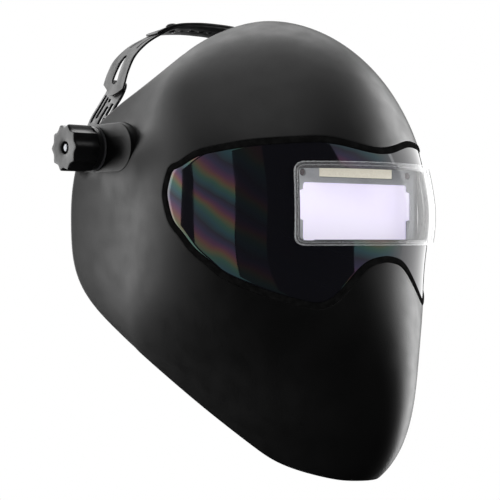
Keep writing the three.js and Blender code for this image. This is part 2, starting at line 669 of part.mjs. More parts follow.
function shellBush() {
  const sleeve = plateX(disc(BUSH_BORE_R - GAP), -PIVOT_PAD_X - 0.4, -PIVOT_PAD_INNER_X + 0.6);
  const flange = plateX(disc(BUSH_FLANGE_R), -PIVOT_PAD_INNER_X + 0.4, -PIVOT_PAD_INNER_X + 1.6);
  return cut(joined(sleeve, flange), plateX(disc(STUD_R + GAP), -BEYOND_SIDE_X, -100));
}

function angleStop() {
  const washer = plateX(ring(ANGLE_STOP_R, STUD_R + GAP), ...ANGLE_STOP_X);
  const pin = plateX(disc(STOP_PIN_R, -9.5, -3), ANGLE_STOP_X[0], ANGLE_STOP_X[0] + 0.8, 5);
  return joined(washer, pin);
}

const outerWasher = () => plateX(ring(WASHER_R, STUD_R + GAP), ...WASHER_X);
const knobNut = () => plateX(ring(NUT_R - GAP, STUD_R + GAP), -NUT_FACE_X + GAP, -KNOB_INNER_X - 2, 6);

for (const [name, side] of SIDES) {
  add(`shell_bush_${name}`, mirrored(shellBush(), side), 0xd8d8d2, 0.4);
  add(`pivot_stud_${name}`, mirrored(pivotStud(), side), 0xa9adb2, 0.3, 1);
  add(`outer_washer_${name}`, mirrored(outerWasher(), side), 0x232426, 0.5);
  add(`angle_stop_${name}`, mirrored(angleStop(), side), 0x2a2b2d, 0.5);
  add(`tension_knob_${name}`, mirrored(knobBody(), side), 0x1c1d1f, 0.4);
  add(`knob_nut_${name}`, mirrored(knobNut(), side), 0xc9a24a, 0.35, 1);
}

// ---------- headgear ----------
const bandZ = (y) => 2 - 0.21 * (y + 90); // the band sits lower at the nape than at the brow

// A place on the headband's outer face, or inset from it; turn 0 is the brow, 90 the wearer's left.
function bandStation(turnDegrees, inset) {
  const turn = THREE.MathUtils.degToRad(turnDegrees);
  const x = (BAND_HALF_WIDTH - inset) * Math.sin(turn);
  const y = BAND_CENTRE_Y - (BAND_HALF_LENGTH - inset) * Math.cos(turn);
  const out = unit([Math.sin(turn) / BAND_HALF_WIDTH, -Math.cos(turn) / BAND_HALF_LENGTH, 0]);
  return { at: [x, y, bandZ(y)], across: [0, 0, 1], along: cross(out, [0, 0, 1]), out };
}

// A stretch of band whose inner face is `inset` inside the headband's outer face.
function bandArc(fromTurn, toTurn, steps, inset, halfHeight, thickness) {
  const stations = [];
  for (let i = 0; i <= steps; i++) {
    stations.push(bandStation(toTurn + ((fromTurn - toTurn) * i) / steps, inset));
  }
  return strip(stations, halfHeight, thickness);
}

// A round post along a station's outward direction, from `low` to `high` above the station.
function postAt(station, radius, low, high, segments = 5) {
  return solidOf(extruded(disc(radius), high - low, segments).applyMatrix4(stationBasis(station, low)));
}

const BAND_END_TURN = 130;
const RIVET_TURNS = [56.6, 123.4];
const RIVET_R = 2.2;
const RIVET_HEAD_R = 4;
const BAND_STEPS = 30;
const rivetStations = (side) => RIVET_TURNS.map((turn) => bandStation(turn * side, 0));
const rivetHoles = (side) => rivetStations(side).map((s) => postAt(s, RIVET_R + GAP, -6, 8));

function headband() {
  const ends = [-BAND_END_TURN, BAND_END_TURN];
  const band = bandArc(...ends, BAND_STEPS, BAND_THICKNESS, BAND_HEIGHT / 2, BAND_THICKNESS);
  return cut(band, ...rivetHoles(-1), ...rivetHoles(1));
}

const SWEAT_PAD = 7;
const SWEAT_TURN = 50; // the pad reaches this far each way round from the brow

function sweatband() {
  const inset = BAND_THICKNESS + GAP + SWEAT_PAD;
  return bandArc(-SWEAT_TURN, SWEAT_TURN, 14, inset, BAND_HEIGHT / 2 + 3, SWEAT_PAD);
}

// The arm bows out from the headband to carry the pivot, and its lobe rises behind the pivot to
// take the crown strap.
const ARM_THICKNESS = 2;
const ARM_PATH = [
  [-65.2, -50, -9], [-70.2, -41, -8.5], [-80, -33, -6], [-92, -21, -3], [-101, -9, 0], [-102, 0, 0],
  [-100.5, 12, 0], [-95.5, 24, -2], [-88, 37, -8], [-79, 49, -17], [-69.8, 58, -25], [-64.8, 67, -28],
];
const LOBE_PATH = [
  [-86, 40, -8], [-86.2, 43.5, 6], [-84.5, 44.5, 20], [-79.3, 37, 36], [-75.6, 32.2, 46], [-73.2, 30.4, 55],
];
const ARM_STEPS = 16;
const ARM_HALF_WIDTH = 10;
const LOBE_STEPS = 9;
const LOBE_HALF_WIDTH = 13;
const LOBE_LEAN = [0, -1, 0.1];
const EYE_R = 15; // flat disc that the pivot stud passes through
const EYE_X = [-105.2, -103.2];
const NECK_R = 12; // joins the eye to the arm round the stud's head
const BEHIND_ARM_X = -90;

function sideArm() {
  const bow = strip(stationsAlong(ARM_PATH, [0, 0, 1], ARM_STEPS), ARM_HALF_WIDTH, ARM_THICKNESS);
  const lobe = strip(stationsAlong(LOBE_PATH, LOBE_LEAN, LOBE_STEPS), LOBE_HALF_WIDTH, ARM_THICKNESS);
  const eye = plateX(disc(EYE_R), ...EYE_X);
  const neck = plateX(ring(NECK_R, STUD_HEAD_R + GAP), EYE_X[1] - 0.2, STUD_HEAD_X[1] - 1.5);
  const stud = plateX(disc(STUD_R + GAP), -BEYOND_SIDE_X, BEHIND_ARM_X);
  const head = plateX(disc(STUD_HEAD_R + GAP), EYE_X[1], BEHIND_ARM_X);
  return cut(joined(bow, lobe, eye, neck), stud, head, ...rivetHoles(-1));
}

// A rivet runs from inside the headband out through the arm, and its head stands on the arm.
function rivet(station) {
  return joined(postAt(station, RIVET_R, -2.9, 5.6), postAt(station, RIVET_HEAD_R, 5.2, 6.6));
}

const CROWN_PATH = [
  [-87.6, 37.5, 20], [-80.5, 33.5, 40], [-78, 31, 50], [-75, 29.5, 61], [-70, 28, 71.5], [-61.2, 26.4, 80.8],
  [-50.4, 23.8, 88.2], [-37.5, 20.5, 94.3], [-18, 18.5, 97], [0, 18, 97.5],
];
const CROWN_HALF_WIDTH = 15;
const CROWN_THICKNESS = 1.6;
const CROWN_OVERLAP_X = 44; // how far each half reaches past the middle
const CROWN_FOOT_Z = 40; // both halves end above this height, on the lobes of the side arms
const PEG_R = 2.4;
const PEG_HEAD_R = 4.4;
const CROWN_STEPS = 34;
const LIFT_START_X = 84; // the left half rises over the right one between these two places
const LIFT_END_X = 64;
const CROWN_LEAN = [0, -1, 0.1]; // the front edge of the strap is a little higher than the rear one

// Stations of the whole strap from its foot on the wearer's right over the head to its foot on the left.
function crownStations() {
  const descent = CROWN_PATH.slice(0, -1).reverse().map(([x, y, z]) => [-x, y, z]);
  return stationsAlong([...CROWN_PATH, ...descent], CROWN_LEAN, CROWN_STEPS);
}

const SLOT_STATION = 6;
const SLOT_HALF_LENGTH = 8;
const SLOT_R = 3.2;

// Cutter for the long slot near the foot of the strap.
function crownSlot(stations) {
  const outline = new THREE.Shape();
  outline.absarc(0, -SLOT_HALF_LENGTH, SLOT_R, Math.PI, Math.PI * 2);
  outline.absarc(0, SLOT_HALF_LENGTH, SLOT_R, 0, Math.PI);
  return solidOf(extruded(outline, 14, 6).applyMatrix4(stationBasis(stations[SLOT_STATION], -5)));
}

// The left half lies over the right one across the top of the head, and a peg joins them.
function crownStraps() {
  const stations = crownStations();
  const slot = crownSlot(stations);
  const pegStation = stations.filter((s) => s.at[0] > -CROWN_OVERLAP_X + 2)[1];
  const peg = joined(postAt(pegStation, PEG_R, -1.2, 4.6), postAt(pegStation, PEG_HEAD_R, 4.3, 6.2));
  const pegHole = postAt(pegStation, PEG_R + GAP, -5, 12);
  const strap = stations.filter((s) => s.at[2] > CROWN_FOOT_Z);
  const rightStations = strap.filter((s) => s.at[0] < CROWN_OVERLAP_X);
  const leftStations = strap.filter((s) => s.at[0] > -CROWN_OVERLAP_X - 4).map((s) => {
    const rise = THREE.MathUtils.clamp((LIFT_START_X - s.at[0]) / (LIFT_START_X - LIFT_END_X), 0, 1);
    return { ...s, at: s.at.map((c, i) => c + s.out[i] * (CROWN_THICKNESS + GAP) * rise) };
  });
  return {
    right: cut(strip(rightStations, CROWN_HALF_WIDTH, CROWN_THICKNESS), slot, pegHole),
    left: cut(strip(leftStations, CROWN_HALF_WIDTH, CROWN_THICKNESS), slot.mirror([1, 0, 0]), pegHole),
    peg,
  };
}

add('headband', headband(), 0x1a1b1d, 0.5);
add('sweatband', sweatband(), 0x3a3a3c, 0.95);
for (const [name, side] of SIDES) {
  add(`side_arm_${name}`, mirrored(sideArm(), side), 0x1f2022, 0.5);
  rivetStations(side).forEach((station, i) => {
    add(`arm_rivet_${['front', 'rear'][i]}_${name}`, rivet(station), 0x2a2b2d, 0.4);
  });
}
const crown = crownStraps();
add('crown_strap_right', crown.right, 0x242527, 0.4);
add('crown_strap_left', crown.left, 0x242527, 0.4);
add('crown_peg', crown.peg, 0x3a3b3d, 0.4);

// ---------- nape adjuster ----------
const NAPE_TURN = 180;
const HOUSING_SPREAD = 31;
const HOUSING_INSET = 3.5;
const HOUSING_DEPTH = 9.5;
const HOUSING_HALF_HEIGHT = 18;
const CHANNEL_INSET = 1.6;
const CHANNEL_DEPTH = 3;
const RACK_INSET = 1;
const RACK_THICKNESS = 1.6;
const RACK_HALF_HEIGHT = 8.5;
const PINION_R = 6.5;
const PINION_TEETH = 12;
const TOOTH_DEPTH = 1.6;
const PINION_SHAFT_R = 3;
const NAPE_KNOB_R = 17;
const NAPE_KNOB_SCALLOPS = 14;
const NAPE_SCALLOP_DEPTH = 1.3;
const NAPE_KNOB_DEPTH = 12;
const RACK_END_TURN = 147;
const COVER_THICKNESS = 1.6;
const COVER_INSET = HOUSING_INSET + GAP + COVER_THICKNESS;
const NAPE_PAD = 7;
const napeY = BAND_CENTRE_Y + BAND_HALF_LENGTH;
const napeZ = bandZ(napeY);
const housingBackY = napeY + HOUSING_DEPTH - HOUSING_INSET;
const shaftTipY = housingBackY + 5;

const napeArc = (spread, steps, inset, halfHeight, thickness) =>
  bandArc(NAPE_TURN - spread, NAPE_TURN + spread, steps, inset, halfHeight, thickness);

function rackStrap(side) {
  const ends = side > 0 ? [BAND_END_TURN + 0.4, RACK_END_TURN] : [-RACK_END_TURN, -BAND_END_TURN - 0.4];
  return bandArc(...ends, 5, RACK_INSET, RACK_HALF_HEIGHT, RACK_THICKNESS);
}

function ratchetHousing() {
  const block = napeArc(HOUSING_SPREAD, 14, HOUSING_INSET, HOUSING_HALF_HEIGHT, HOUSING_DEPTH);
  const channel = napeArc(HOUSING_SPREAD + 6, 14, CHANNEL_INSET, RACK_HALF_HEIGHT + 1.5, CHANNEL_DEPTH);
  const bore = plateY(disc(PINION_SHAFT_R + GAP, 0, napeZ), napeY - 1, shaftTipY);
  return cut(block, channel, bore);
}

function ratchetPinion() {
  const gear = plateY(wavyDisc(PINION_R, TOOTH_DEPTH, PINION_TEETH, napeZ, 4), napeY - 1, napeY + 0.8);
  const shaft = plateY(disc(PINION_SHAFT_R, 0, napeZ), napeY + 0.5, shaftTipY);
  return joined(gear, shaft);
}

function ratchetKnob() {
  const knobY = housingBackY + 0.8;
  const outline = wavyDisc(NAPE_KNOB_R, NAPE_SCALLOP_DEPTH, NAPE_KNOB_SCALLOPS, napeZ, 5);
  const pocket = plateY(disc(PINION_SHAFT_R + GAP, 0, napeZ), knobY - 1, shaftTipY + GAP);
  return cut(plateY(outline, knobY, knobY + NAPE_KNOB_DEPTH), pocket);
}

function housingCover() {
  return napeArc(HOUSING_SPREAD - 2, 10, COVER_INSET, HOUSING_HALF_HEIGHT - 2, COVER_THICKNESS);
}

function napePad() {
  return napeArc(HOUSING_SPREAD - 3, 10, COVER_INSET + GAP + NAPE_PAD, HOUSING_HALF_HEIGHT - 1, NAPE_PAD);
}

for (const [name, side] of SIDES) add(`rack_strap_${name}`, rackStrap(side), 0x1f2022, 0.5);
add('ratchet_housing', ratchetHousing(), 0x1a1b1d, 0.5);
add('housing_cover', housingCover(), 0x242527, 0.5);
add('nape_pad', napePad(), 0x3a3a3c, 0.95);
add('ratchet_pinion', ratchetPinion(), 0xd8d8d2, 0.4);
add('ratchet_knob', ratchetKnob(), 0x232426, 0.5);

const helmet = new THREE.Group();
helmet.add(...pieces);
export default helmet;
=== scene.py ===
"""Flip-up welding helmet: shell, wrap-round visor, darkening filter, side pivots and ratchet headgear.

Lengths are written in millimetres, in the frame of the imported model, and become metres as a mesh is made.
Right and left are the wearer's. +X is the wearer's left, -Y is the front and +Z is up.
"""

import json
import math

import bmesh
import bpy
import numpy as np
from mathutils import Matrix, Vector

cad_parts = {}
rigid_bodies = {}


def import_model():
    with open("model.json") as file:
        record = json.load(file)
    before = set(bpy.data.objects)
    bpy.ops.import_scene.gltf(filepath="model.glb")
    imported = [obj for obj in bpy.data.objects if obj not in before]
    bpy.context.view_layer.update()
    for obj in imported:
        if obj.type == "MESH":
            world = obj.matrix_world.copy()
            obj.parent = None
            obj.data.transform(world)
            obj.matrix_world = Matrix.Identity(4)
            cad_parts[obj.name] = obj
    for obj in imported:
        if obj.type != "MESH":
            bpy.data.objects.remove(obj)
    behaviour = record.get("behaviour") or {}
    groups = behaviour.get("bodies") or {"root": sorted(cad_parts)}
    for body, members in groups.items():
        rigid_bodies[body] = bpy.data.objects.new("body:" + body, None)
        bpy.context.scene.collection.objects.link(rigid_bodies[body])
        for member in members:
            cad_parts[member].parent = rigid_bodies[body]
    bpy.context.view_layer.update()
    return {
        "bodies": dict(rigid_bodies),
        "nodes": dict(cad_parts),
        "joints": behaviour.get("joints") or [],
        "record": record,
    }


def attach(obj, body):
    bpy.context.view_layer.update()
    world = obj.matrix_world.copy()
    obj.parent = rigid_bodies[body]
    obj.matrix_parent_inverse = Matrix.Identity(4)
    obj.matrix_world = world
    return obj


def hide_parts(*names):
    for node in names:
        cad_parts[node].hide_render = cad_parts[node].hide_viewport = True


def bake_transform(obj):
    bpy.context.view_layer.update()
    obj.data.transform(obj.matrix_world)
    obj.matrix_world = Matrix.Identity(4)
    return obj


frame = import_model()

MM = 0.001
SCENE = bpy.context.scene
SIDES = (("right", -1), ("left", 1))
MATERIALS = {}  # by the name of their slot

# ---------- driving dimensions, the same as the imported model's ----------
GAP = 0.35
SHELL_WALL = 2.6
DOME_BASE_Z = -16
DOME_TOP_Z = 97
DOME_HALF_WIDTH = 111
DOME_CENTRE_Y = -55
DOME_REACH = 128
DOME_SLOPE_POWER = 1.2
DOME_SLOPE_ROOT = 0.46
DOME_PLAN_POWER = 1.9
SIDE_FLARE = 1.5e-5
CHIN_Z = -234
CROWN_Z = 95
PIVOT_PAD_X = 115.5
PIVOT_PAD_INNER_X = 108.8
PIVOT_PAD_R = 18
PIVOT_PAD_FRONT_Y = -28.5
BUSH_BORE_R = 6.4
VISOR_AXIS_Y = -55
VISOR_RADIUS = 118
WINDOW_END = 78.3
COVER_HALF_ROUND = math.asin(66 / 130) * VISOR_RADIUS
COVER_TOP_Z = -14.5
COVER_BOTTOM_Z = -70
COVER_CORNER = 6
COVER_HEIGHT = 4.4
COVER_FACE = 1.5
COVER_WALL = 2
BAND_HALF_WIDTH = 80
BAND_HALF_LENGTH = 98
BAND_CENTRE_Y = 8
BAND_FRONT_Y = BAND_CENTRE_Y - BAND_HALF_LENGTH
BAND_FRONT_Z = 2
BAND_SLOPE = 0.21
BAND_HALF_HEIGHT = 15
BAND_THICKNESS = 2.2


# ---------- curves ----------
def spline_through(knots):
    """Natural cubic spline through [x, y] knots, held constant past both ends."""
    xs, ys = np.array(sorted(knots), float).T
    steps = np.diff(xs)
    count = len(xs)
    matrix = np.eye(count)
    right = np.zeros(count)
    for i in range(1, count - 1):
        matrix[i, i - 1 : i + 2] = steps[i - 1], 2 * (steps[i - 1] + steps[i]), steps[i]
        right[i] = 6 * ((ys[i + 1] - ys[i]) / steps[i] - (ys[i] - ys[i - 1]) / steps[i - 1])
    bends = np.linalg.solve(matrix, right)

    def value(x):
        x = np.clip(np.asarray(x, float), xs[0], xs[-1])
        i = np.clip(np.searchsorted(xs, x, side="right") - 1, 0, count - 2)
        step = steps[i]
        a = (xs[i + 1] - x) / step
        b = 1 - a
        sag = ((a**3 - a) * bends[i] + (b**3 - b) * bends[i + 1]) * step**2 / 6
        return a * ys[i] + b * ys[i + 1] + sag

    return value


lower_half_width = spline_through(
    [[13, 107.5], [-16, 111], [-45, 113.5], [-85, 112], [-120, 105], [-160, 88], [-200, 66], [-234, 44]]
)
lower_front_y = spline_through(
    [[13, -177.5], [-16, -183], [-48, -189.5], [-82, -186], [-112, -191], [-150, -198], [-185, -199],
     [-208, -193], [-222, -184], [-234, -170]]
)
lower_centre_y = spline_through([[-16, -55], [-85, -40], [-160, -20], [-234, -40]])
lower_plan_power = spline_through([[-16, 1.9], [-50, 2], [-90, 2], [-130, 1.75], [-170, 1.6], [-234, 1.7]])
rim_y = spline_through(
    [[97, -72], [87, -66], [78, -59.5], [59, -46], [42.5, -27], [31, -10.5], [10, 10], [-20, 21.5],
     [-60, 24], [-88, 24.5], [-104, 20], [-118, 10.5], [-147, -22.5], [-188, -71], [-215, -104.4],
     [-227, -130], [-234, -165]]
)
window_top = spline_through(
    [[0, -4], [5, -2.8], [11.7, 0.2], [18.3, 2.7], [24.8, 2.8], [34.5, 1.8], [44.5, 0.3], [57, -3.3],
     [66.9, -8.3], [73.4, -14.2], [77.1, -21.8], [78.3, -31]]
)
window_bottom = spline_through(
    [[0, -80.9], [3, -81.8], [6.3, -83.9], [9.9, -89.9], [13.4, -98.3], [16.6, -105.6], [19.6, -110.2],
     [23.1, -112.2], [26.9, -110.9], [31.4, -108.6], [39.4, -103.7], [47.9, -97.4], [54.7, -91.1],
     [60.5, -82.3], [66.3, -73.5], [71.9, -61.1], [75.9, -50.7], [78.3, -36]]
)


def eased(share):
    """From 0 to 1 with soft ends."""
    share = np.clip(share, 0, 1)
    return share * share * (3 - 2 * share)


def exact_section(z):
    """Half width, y of the widest place, depth from there to the front and outline power at height z."""
    rise = np.clip((z - DOME_BASE_Z) / (DOME_TOP_Z - DOME_BASE_Z), 0, 1)
    dome = [
        DOME_HALF_WIDTH * np.sqrt(1 - rise**2),
        np.full_like(z, DOME_CENTRE_Y),
        DOME_REACH * (1 - rise**DOME_SLOPE_POWER) ** DOME_SLOPE_ROOT,
        np.full_like(z, DOME_PLAN_POWER),
    ]
    centre = lower_centre_y(z)
    lower = [lower_half_width(z), centre, centre - lower_front_y(z), lower_plan_power(z)]
    return [np.where(z > DOME_BASE_Z, high, low) for high, low in zip(dome, lower)]


SECTION_Z = np.arange(CHIN_Z - 30, DOME_TOP_Z, 1.0)
BLUR_MM = 7  # the dome and the lower part run into each other over about this height


def blurred_sections():
    """The section laws on a table of heights, averaged over BLUR_MM so that no crease shows between them."""
    reach = np.arange(-3 * BLUR_MM, 3 * BLUR_MM + 1)
    weights = np.exp(-0.5 * (reach / BLUR_MM) ** 2)
    weights /= weights.sum()
    padded = [np.pad(law, len(reach) // 2, mode="edge") for law in exact_section(SECTION_Z)]
    return [np.convolve(law, weights, mode="valid") for law in padded]


SECTION_TABLE = blurred_sections()
DOME_EXACT_Z = (25, 55)  # between these heights the blurred laws fade into the exact ones
CHIN_EXACT_HEIGHT = 20  # and they do so again over this height above the chin


def section_at(z):
    exact = exact_section(z)
    soft = [np.interp(z, SECTION_Z, law) for law in SECTION_TABLE]
    low, high = DOME_EXACT_Z
    keep_chin = np.clip((z - CHIN_Z) / CHIN_EXACT_HEIGHT, 0, 1)
    share = np.maximum(eased((z - low) / (high - low)), 1 - keep_chin)
    return [share * hard + (1 - share) * easy for hard, easy in zip(exact, soft)]


BACK_STRETCH = 200  # millimetres of side wall for each unit of q beyond the widest place


def skin(z, q):
    """Points on the shell's outer face. q is 0 at the front, 1 at the widest place and more behind it,
    and negative on the wearer's right."""
    z, q = np.broadcast_arrays(np.asarray(z, float), np.asarray(q, float))
    half, centre, depth, power = section_at(z)
    angle = np.clip(np.abs(q), 0, 1) * np.pi / 2
    past = np.maximum(0, np.abs(q) - 1) * BACK_STRETCH
    x = np.sign(q) * half * np.sin(angle) * (1 + SIDE_FLARE * past**2)
    y = centre - depth * np.clip(np.cos(angle), 0, 1) ** (2 / power) + past
    return np.stack([x, y, z], -1)


def unit(vectors):
    return vectors / np.maximum(1e-12, np.linalg.norm(vectors, axis=-1, keepdims=True))


NORMAL_STEP_Z = 0.6
NORMAL_STEP_Q = 0.006


def skin_normal(z, q):
    across = skin(z, q + NORMAL_STEP_Q) - skin(z, q - NORMAL_STEP_Q)
    up = skin(z + NORMAL_STEP_Z, q) - skin(z - NORMAL_STEP_Z, q)
    return unit(np.cross(across, up))


MOST_Q = 1.7
HALVINGS = 40


def q_at_turn(z, turn):
    """The q at which the skin at height z is `turn` degrees round the visor axis from the front."""
    low = np.zeros_like(z)
    high = np.full_like(z, MOST_Q)
    for _ in range(HALVINGS):
        middle = (low + high) / 2
        point = skin(z, middle)
        here = np.degrees(np.arctan2(point[..., 0], VISOR_AXIS_Y - point[..., 1]))
        high = np.where(here > np.abs(turn), middle, high)
        low = np.where(here > np.abs(turn), low, middle)
    return np.sign(turn) * (low + high) / 2


def q_at_y(z, y):
    half, centre, depth, power = section_at(z)
    front = np.clip((centre - y) / depth, 0, 1) ** (power / 2)
    return np.where(y > centre, 1 + (y - centre) / BACK_STRETCH, np.arccos(front) * 2 / np.pi)


def resampled(line, count, measure=None):
    """count + 1 points evenly spaced along a line of points; lengths are measured on `measure`."""
    measure = line if measure is None else measure
    along = np.concatenate([[0], np.cumsum(np.linalg.norm(np.diff(measure, axis=0), axis=1))])
    targets = np.linspace(0, along[-1], count + 1)
    return np.stack([np.interp(targets, along, line[:, c]) for c in range(line.shape[1])], 1)


MIRROR = np.array([-1.0, 1.0])


def with_mirrored_ends(half, count):
    """A half outline that starts and ends on the centreline, continued a little past both ends."""
    return np.concatenate([half[count:0:-1] * MIRROR, half, half[-2 : -count - 2 : -1] * MIRROR])


def smoothed(half, passes):
    for _ in range(passes):
        padded = with_mirrored_ends(half, 1)
        half = (padded[:-2] + 2 * padded[1:-1] + padded[2:]) / 4
    return half


def grown(half, amount):
    """A half outline, drawn from the bottom centre to the top centre, moved outwards."""
    padded = with_mirrored_ends(half, 1)
    along = unit(padded[2:] - padded[:-2])
    return half + amount * np.stack([along[:, 1], -along[:, 0]], 1)


def whole(half):
    """The closed outline of a half outline and its mirror image."""
    return np.concatenate([half, half[-2:0:-1] * MIRROR])


def split_resampled(half, low_count, high_count):
    """The half outline with set numbers of steps below and above its outermost point."""
    end = int(np.argmax(half[:, 0]))
    low = resampled(half[: end + 1], low_count)
    high = resampled(half[end:], high_count)
    return np.concatenate([low, high[1:]])


OUTLINE_DENSE = 720
WINDOW_SMOOTHING = 24  # passes
COVER_SMOOTHING = 4
RIM_SMOOTHING = 3


def window_half(grow, low_count, high_count):
    """Half of the window's outline as [distance round, height], from the bottom centre to the top centre."""
    turn = WINDOW_END * np.sin(np.linspace(0, np.pi / 2, 240))
    bottom = np.stack([turn, window_bottom(turn)], 1)
    top = np.stack([turn, window_top(turn)], 1)[::-1]
    line = np.concatenate([bottom, top]) * [math.radians(1) * VISOR_RADIUS, 1]
    line = smoothed(resampled(line, OUTLINE_DENSE), WINDOW_SMOOTHING)
    return split_resampled(grown(line, grow), low_count, high_count)


def cover_half(grow, low_count, high_count):
    """Half of the front cover's outline, in the same plane."""
    halves = COVER_HALF_ROUND, (COVER_TOP_Z - COVER_BOTTOM_Z) / 2
    middle_z = (COVER_TOP_Z + COVER_BOTTOM_Z) / 2
    turn = np.linspace(0, np.pi / 2, 20)
    corner = np.stack([np.cos(turn), np.sin(turn)], 1) * COVER_CORNER
    inner = np.array(halves) - COVER_CORNER
    top_corner = corner + inner
    line = np.concatenate([[[0, -halves[1]]], top_corner[::-1] * [1, -1], top_corner, [[0, halves[1]]]])
    line = smoothed(resampled(line, OUTLINE_DENSE), COVER_SMOOTHING) + [0, middle_z]
    return split_resampled(grown(line, grow), low_count, high_count)


def on_skin(plane_points, height):
    """Points of the (distance round, height) plane laid on the skin and lifted along its normal."""
    turn = np.degrees(plane_points[..., 0] / VISOR_RADIUS)
    z = plane_points[..., 1]
    q = q_at_turn(z, turn)
    return skin(z, q) + skin_normal(z, q) * height


# ---------- meshes ----------
SHARP_DEGREES = 38


def bridge(loops, wrap):
    """Points and faces of a skin over closed loops of points. wrap joins the last loop to the first;
    a loop of one point is a pole."""
    loops = [np.atleast_2d(loop) for loop in loops]
    starts = np.concatenate([[0], np.cumsum([len(loop) for loop in loops])])
    faces = []
    pairs = list(zip(range(len(loops)), range(1, len(loops))))
    if wrap:
        pairs.append((len(loops) - 1, 0))
    for first, second in pairs:
        count = max(len(loops[first]), len(loops[second]))
        for k in range(count):
            after = (k + 1) % count
            low = [starts[first]] if len(loops[first]) == 1 else [starts[first] + k, starts[first] + after]
            if len(loops[second]) == 1:
                high = [starts[second]]
            else:
                high = [starts[second] + after, starts[second] + k]
            faces.append([int(i) for i in low + high])
    return np.concatenate(loops), faces


def together(*parts):
    """Several (points, faces) as one."""
    points, faces = [], []
    start = 0
    for part_points, part_faces in parts:
        points.append(part_points)
        faces.extend([[i + start for i in face] for face in part_faces])
        start += len(part_points)
    return np.concatenate(points), faces


def piece(name, part, slot, body, *nodes, sharp=SHARP_DEGREES):
    """The finished object, of the material named like its slot, riding on its body and standing for
    its nodes. It is smooth but for edges sharper than `sharp` degrees."""
    points, faces = part
    mesh = bpy.data.meshes.new(name)
    mesh.from_pydata((points * MM).tolist(), [], faces)
    work = bmesh.new()
    work.from_mesh(mesh)
    bmesh.ops.recalc_face_normals(work, faces=work.faces)
    work.to_mesh(mesh)
    work.free()
    mesh.shade_smooth()
    mesh.set_sharp_from_angle(angle=math.radians(sharp))
    obj = bpy.data.objects.new(name, mesh)
    SCENE.collection.objects.link(obj)
    obj.data.materials.append(MATERIALS[slot])
    if body:
        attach(obj, body)
    if nodes:
        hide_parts(*nodes)
    return obj


def circle(radius, a=0.0, b=0.0, steps=28):
    turn = np.arange(steps) / steps * 2 * np.pi
    return np.stack([a + radius * np.cos(turn), b + radius * np.sin(turn)], 1)


def rounded_box(half_a, half_b, corner, a=0.0, b=0.0, steps=6):
    """A rectangle with round corners, counter-clockwise."""
    points = []
    for turn0, sign_a, sign_b in ((-90, 1, -1), (0, 1, 1), (90, -1, 1), (180, -1, -1)):
        for i in range(steps + 1):
            turn = math.radians(turn0 + 90 * i / steps)
            centre = sign_a * (half_a - corner), sign_b * (half_b - corner)
            points.append([a + centre[0] + corner * math.cos(turn), b + centre[1] + corner * math.sin(turn)])
    return np.array(points)


BEND_STEP = 2.5  # a plate that will be bent is cut across this often


def plate(outlines, low, high, place, bevel=0.4, step=None):
    """A plate cut to its outlines, the first outside and the others holes, with rounded edges.
    It is drawn flat in (a, b), cut across b every `step`, and `place` puts it where it belongs."""
    curve = bpy.data.curves.new("pattern", "CURVE")
    curve.dimensions = "2D"
    curve.fill_mode = "BOTH"
    curve.extrude = (high - low) / 2 - bevel
    curve.bevel_depth = bevel
    curve.bevel_resolution = 2
    curve.offset = -bevel
    for i, outline in enumerate(outlines):
        line = outline if i == 0 else outline[::-1]
        spline = curve.splines.new("POLY")
        spline.points.add(len(line) - 1)
        full = np.column_stack([line, np.zeros(len(line)), np.ones(len(line))])
        spline.points.foreach_set("co", full.ravel())
        spline.use_cyclic_u = True
    pattern = bpy.data.objects.new("pattern", curve)
    SCENE.collection.objects.link(pattern)
    flat = bpy.data.meshes.new_from_object(pattern.evaluated_get(bpy.context.evaluated_depsgraph_get()))
    bpy.data.objects.remove(pattern)
    bpy.data.curves.remove(curve)
    work = bmesh.new()
    work.from_mesh(flat)
    bpy.data.meshes.remove(flat)
    bmesh.ops.remove_doubles(work, verts=work.verts, dist=1e-3)
    if step:
        reach = [v.co.y for v in work.verts]
        for b in np.arange(min(reach) + step / 2, max(reach), step):
            everything = work.verts[:] + work.edges[:] + work.faces[:]
            bmesh.ops.bisect_plane(work, geom=everything, plane_co=(0, b, 0), plane_no=(0, 1, 0))
    work.verts.index_update()
    points = np.array([v.co for v in work.verts], float).reshape(-1, 3)
    faces = [[v.index for v in face.verts] for face in work.faces]
    work.free()
    return place(points[:, 0], points[:, 1], points[:, 2] + (low + high) / 2), faces


VALLEY_SHARE = 0.65  # below 1, a scalloped part has broad valleys and narrow crests


def turned(profile, place, steps=48, lobes=0, wrap=False):
    """A turned part from [radius, height] pairs along its axis, or [radius, height, dip]: a dip
    scallops the circle `lobes` times. wrap joins the last pair to the first, for a part with a bore."""
    turn = np.arange(steps) / steps * 2 * np.pi
    valley = (0.5 - 0.5 * np.cos(turn * lobes)) ** VALLEY_SHARE
    loops = []
    for radius, height, *dip in profile:
        if radius == 0:
            loops.append(place(np.zeros(1), np.zeros(1), np.array([float(height)])))
            continue
        scallop = valley * (dip[0] if dip else 0)
        reach = radius - scallop
        loops.append(place(reach * np.cos(turn), reach * np.sin(turn), np.full(steps, float(height))))
    return bridge(loops, wrap)


def facing_side(side, centre_y=0.0, centre_z=0.0):
    """place() for parts on an axis along X: a is y, b is z and t is the distance from the middle."""
    return lambda a, b, t: np.stack([side * t, centre_y + a, centre_z + b], 1)


def facing_front(centre_x=0.0, centre_z=0.0):
    """place() for parts on an axis along Y: a is x, b is z and t is y."""
    return lambda a, b, t: np.stack([centre_x + a, t, centre_z + b], 1)


# ---------- materials ----------
def add_node(material, kind, inputs=None, **settings):
    """A new node; each input is a value or another node's socket."""
    tree = material.node_tree
    made = tree.nodes.new(f"ShaderNode{kind}")
    for key, value in settings.items():
        setattr(made, key, value)
    for key, value in (inputs or {}).items():
        if isinstance(value, bpy.types.NodeSocket):
            tree.links.new(value, made.inputs[key])
        else:
            made.inputs[key].default_value = value
    return made


def grey(value):
    return (value, value, value, 1)


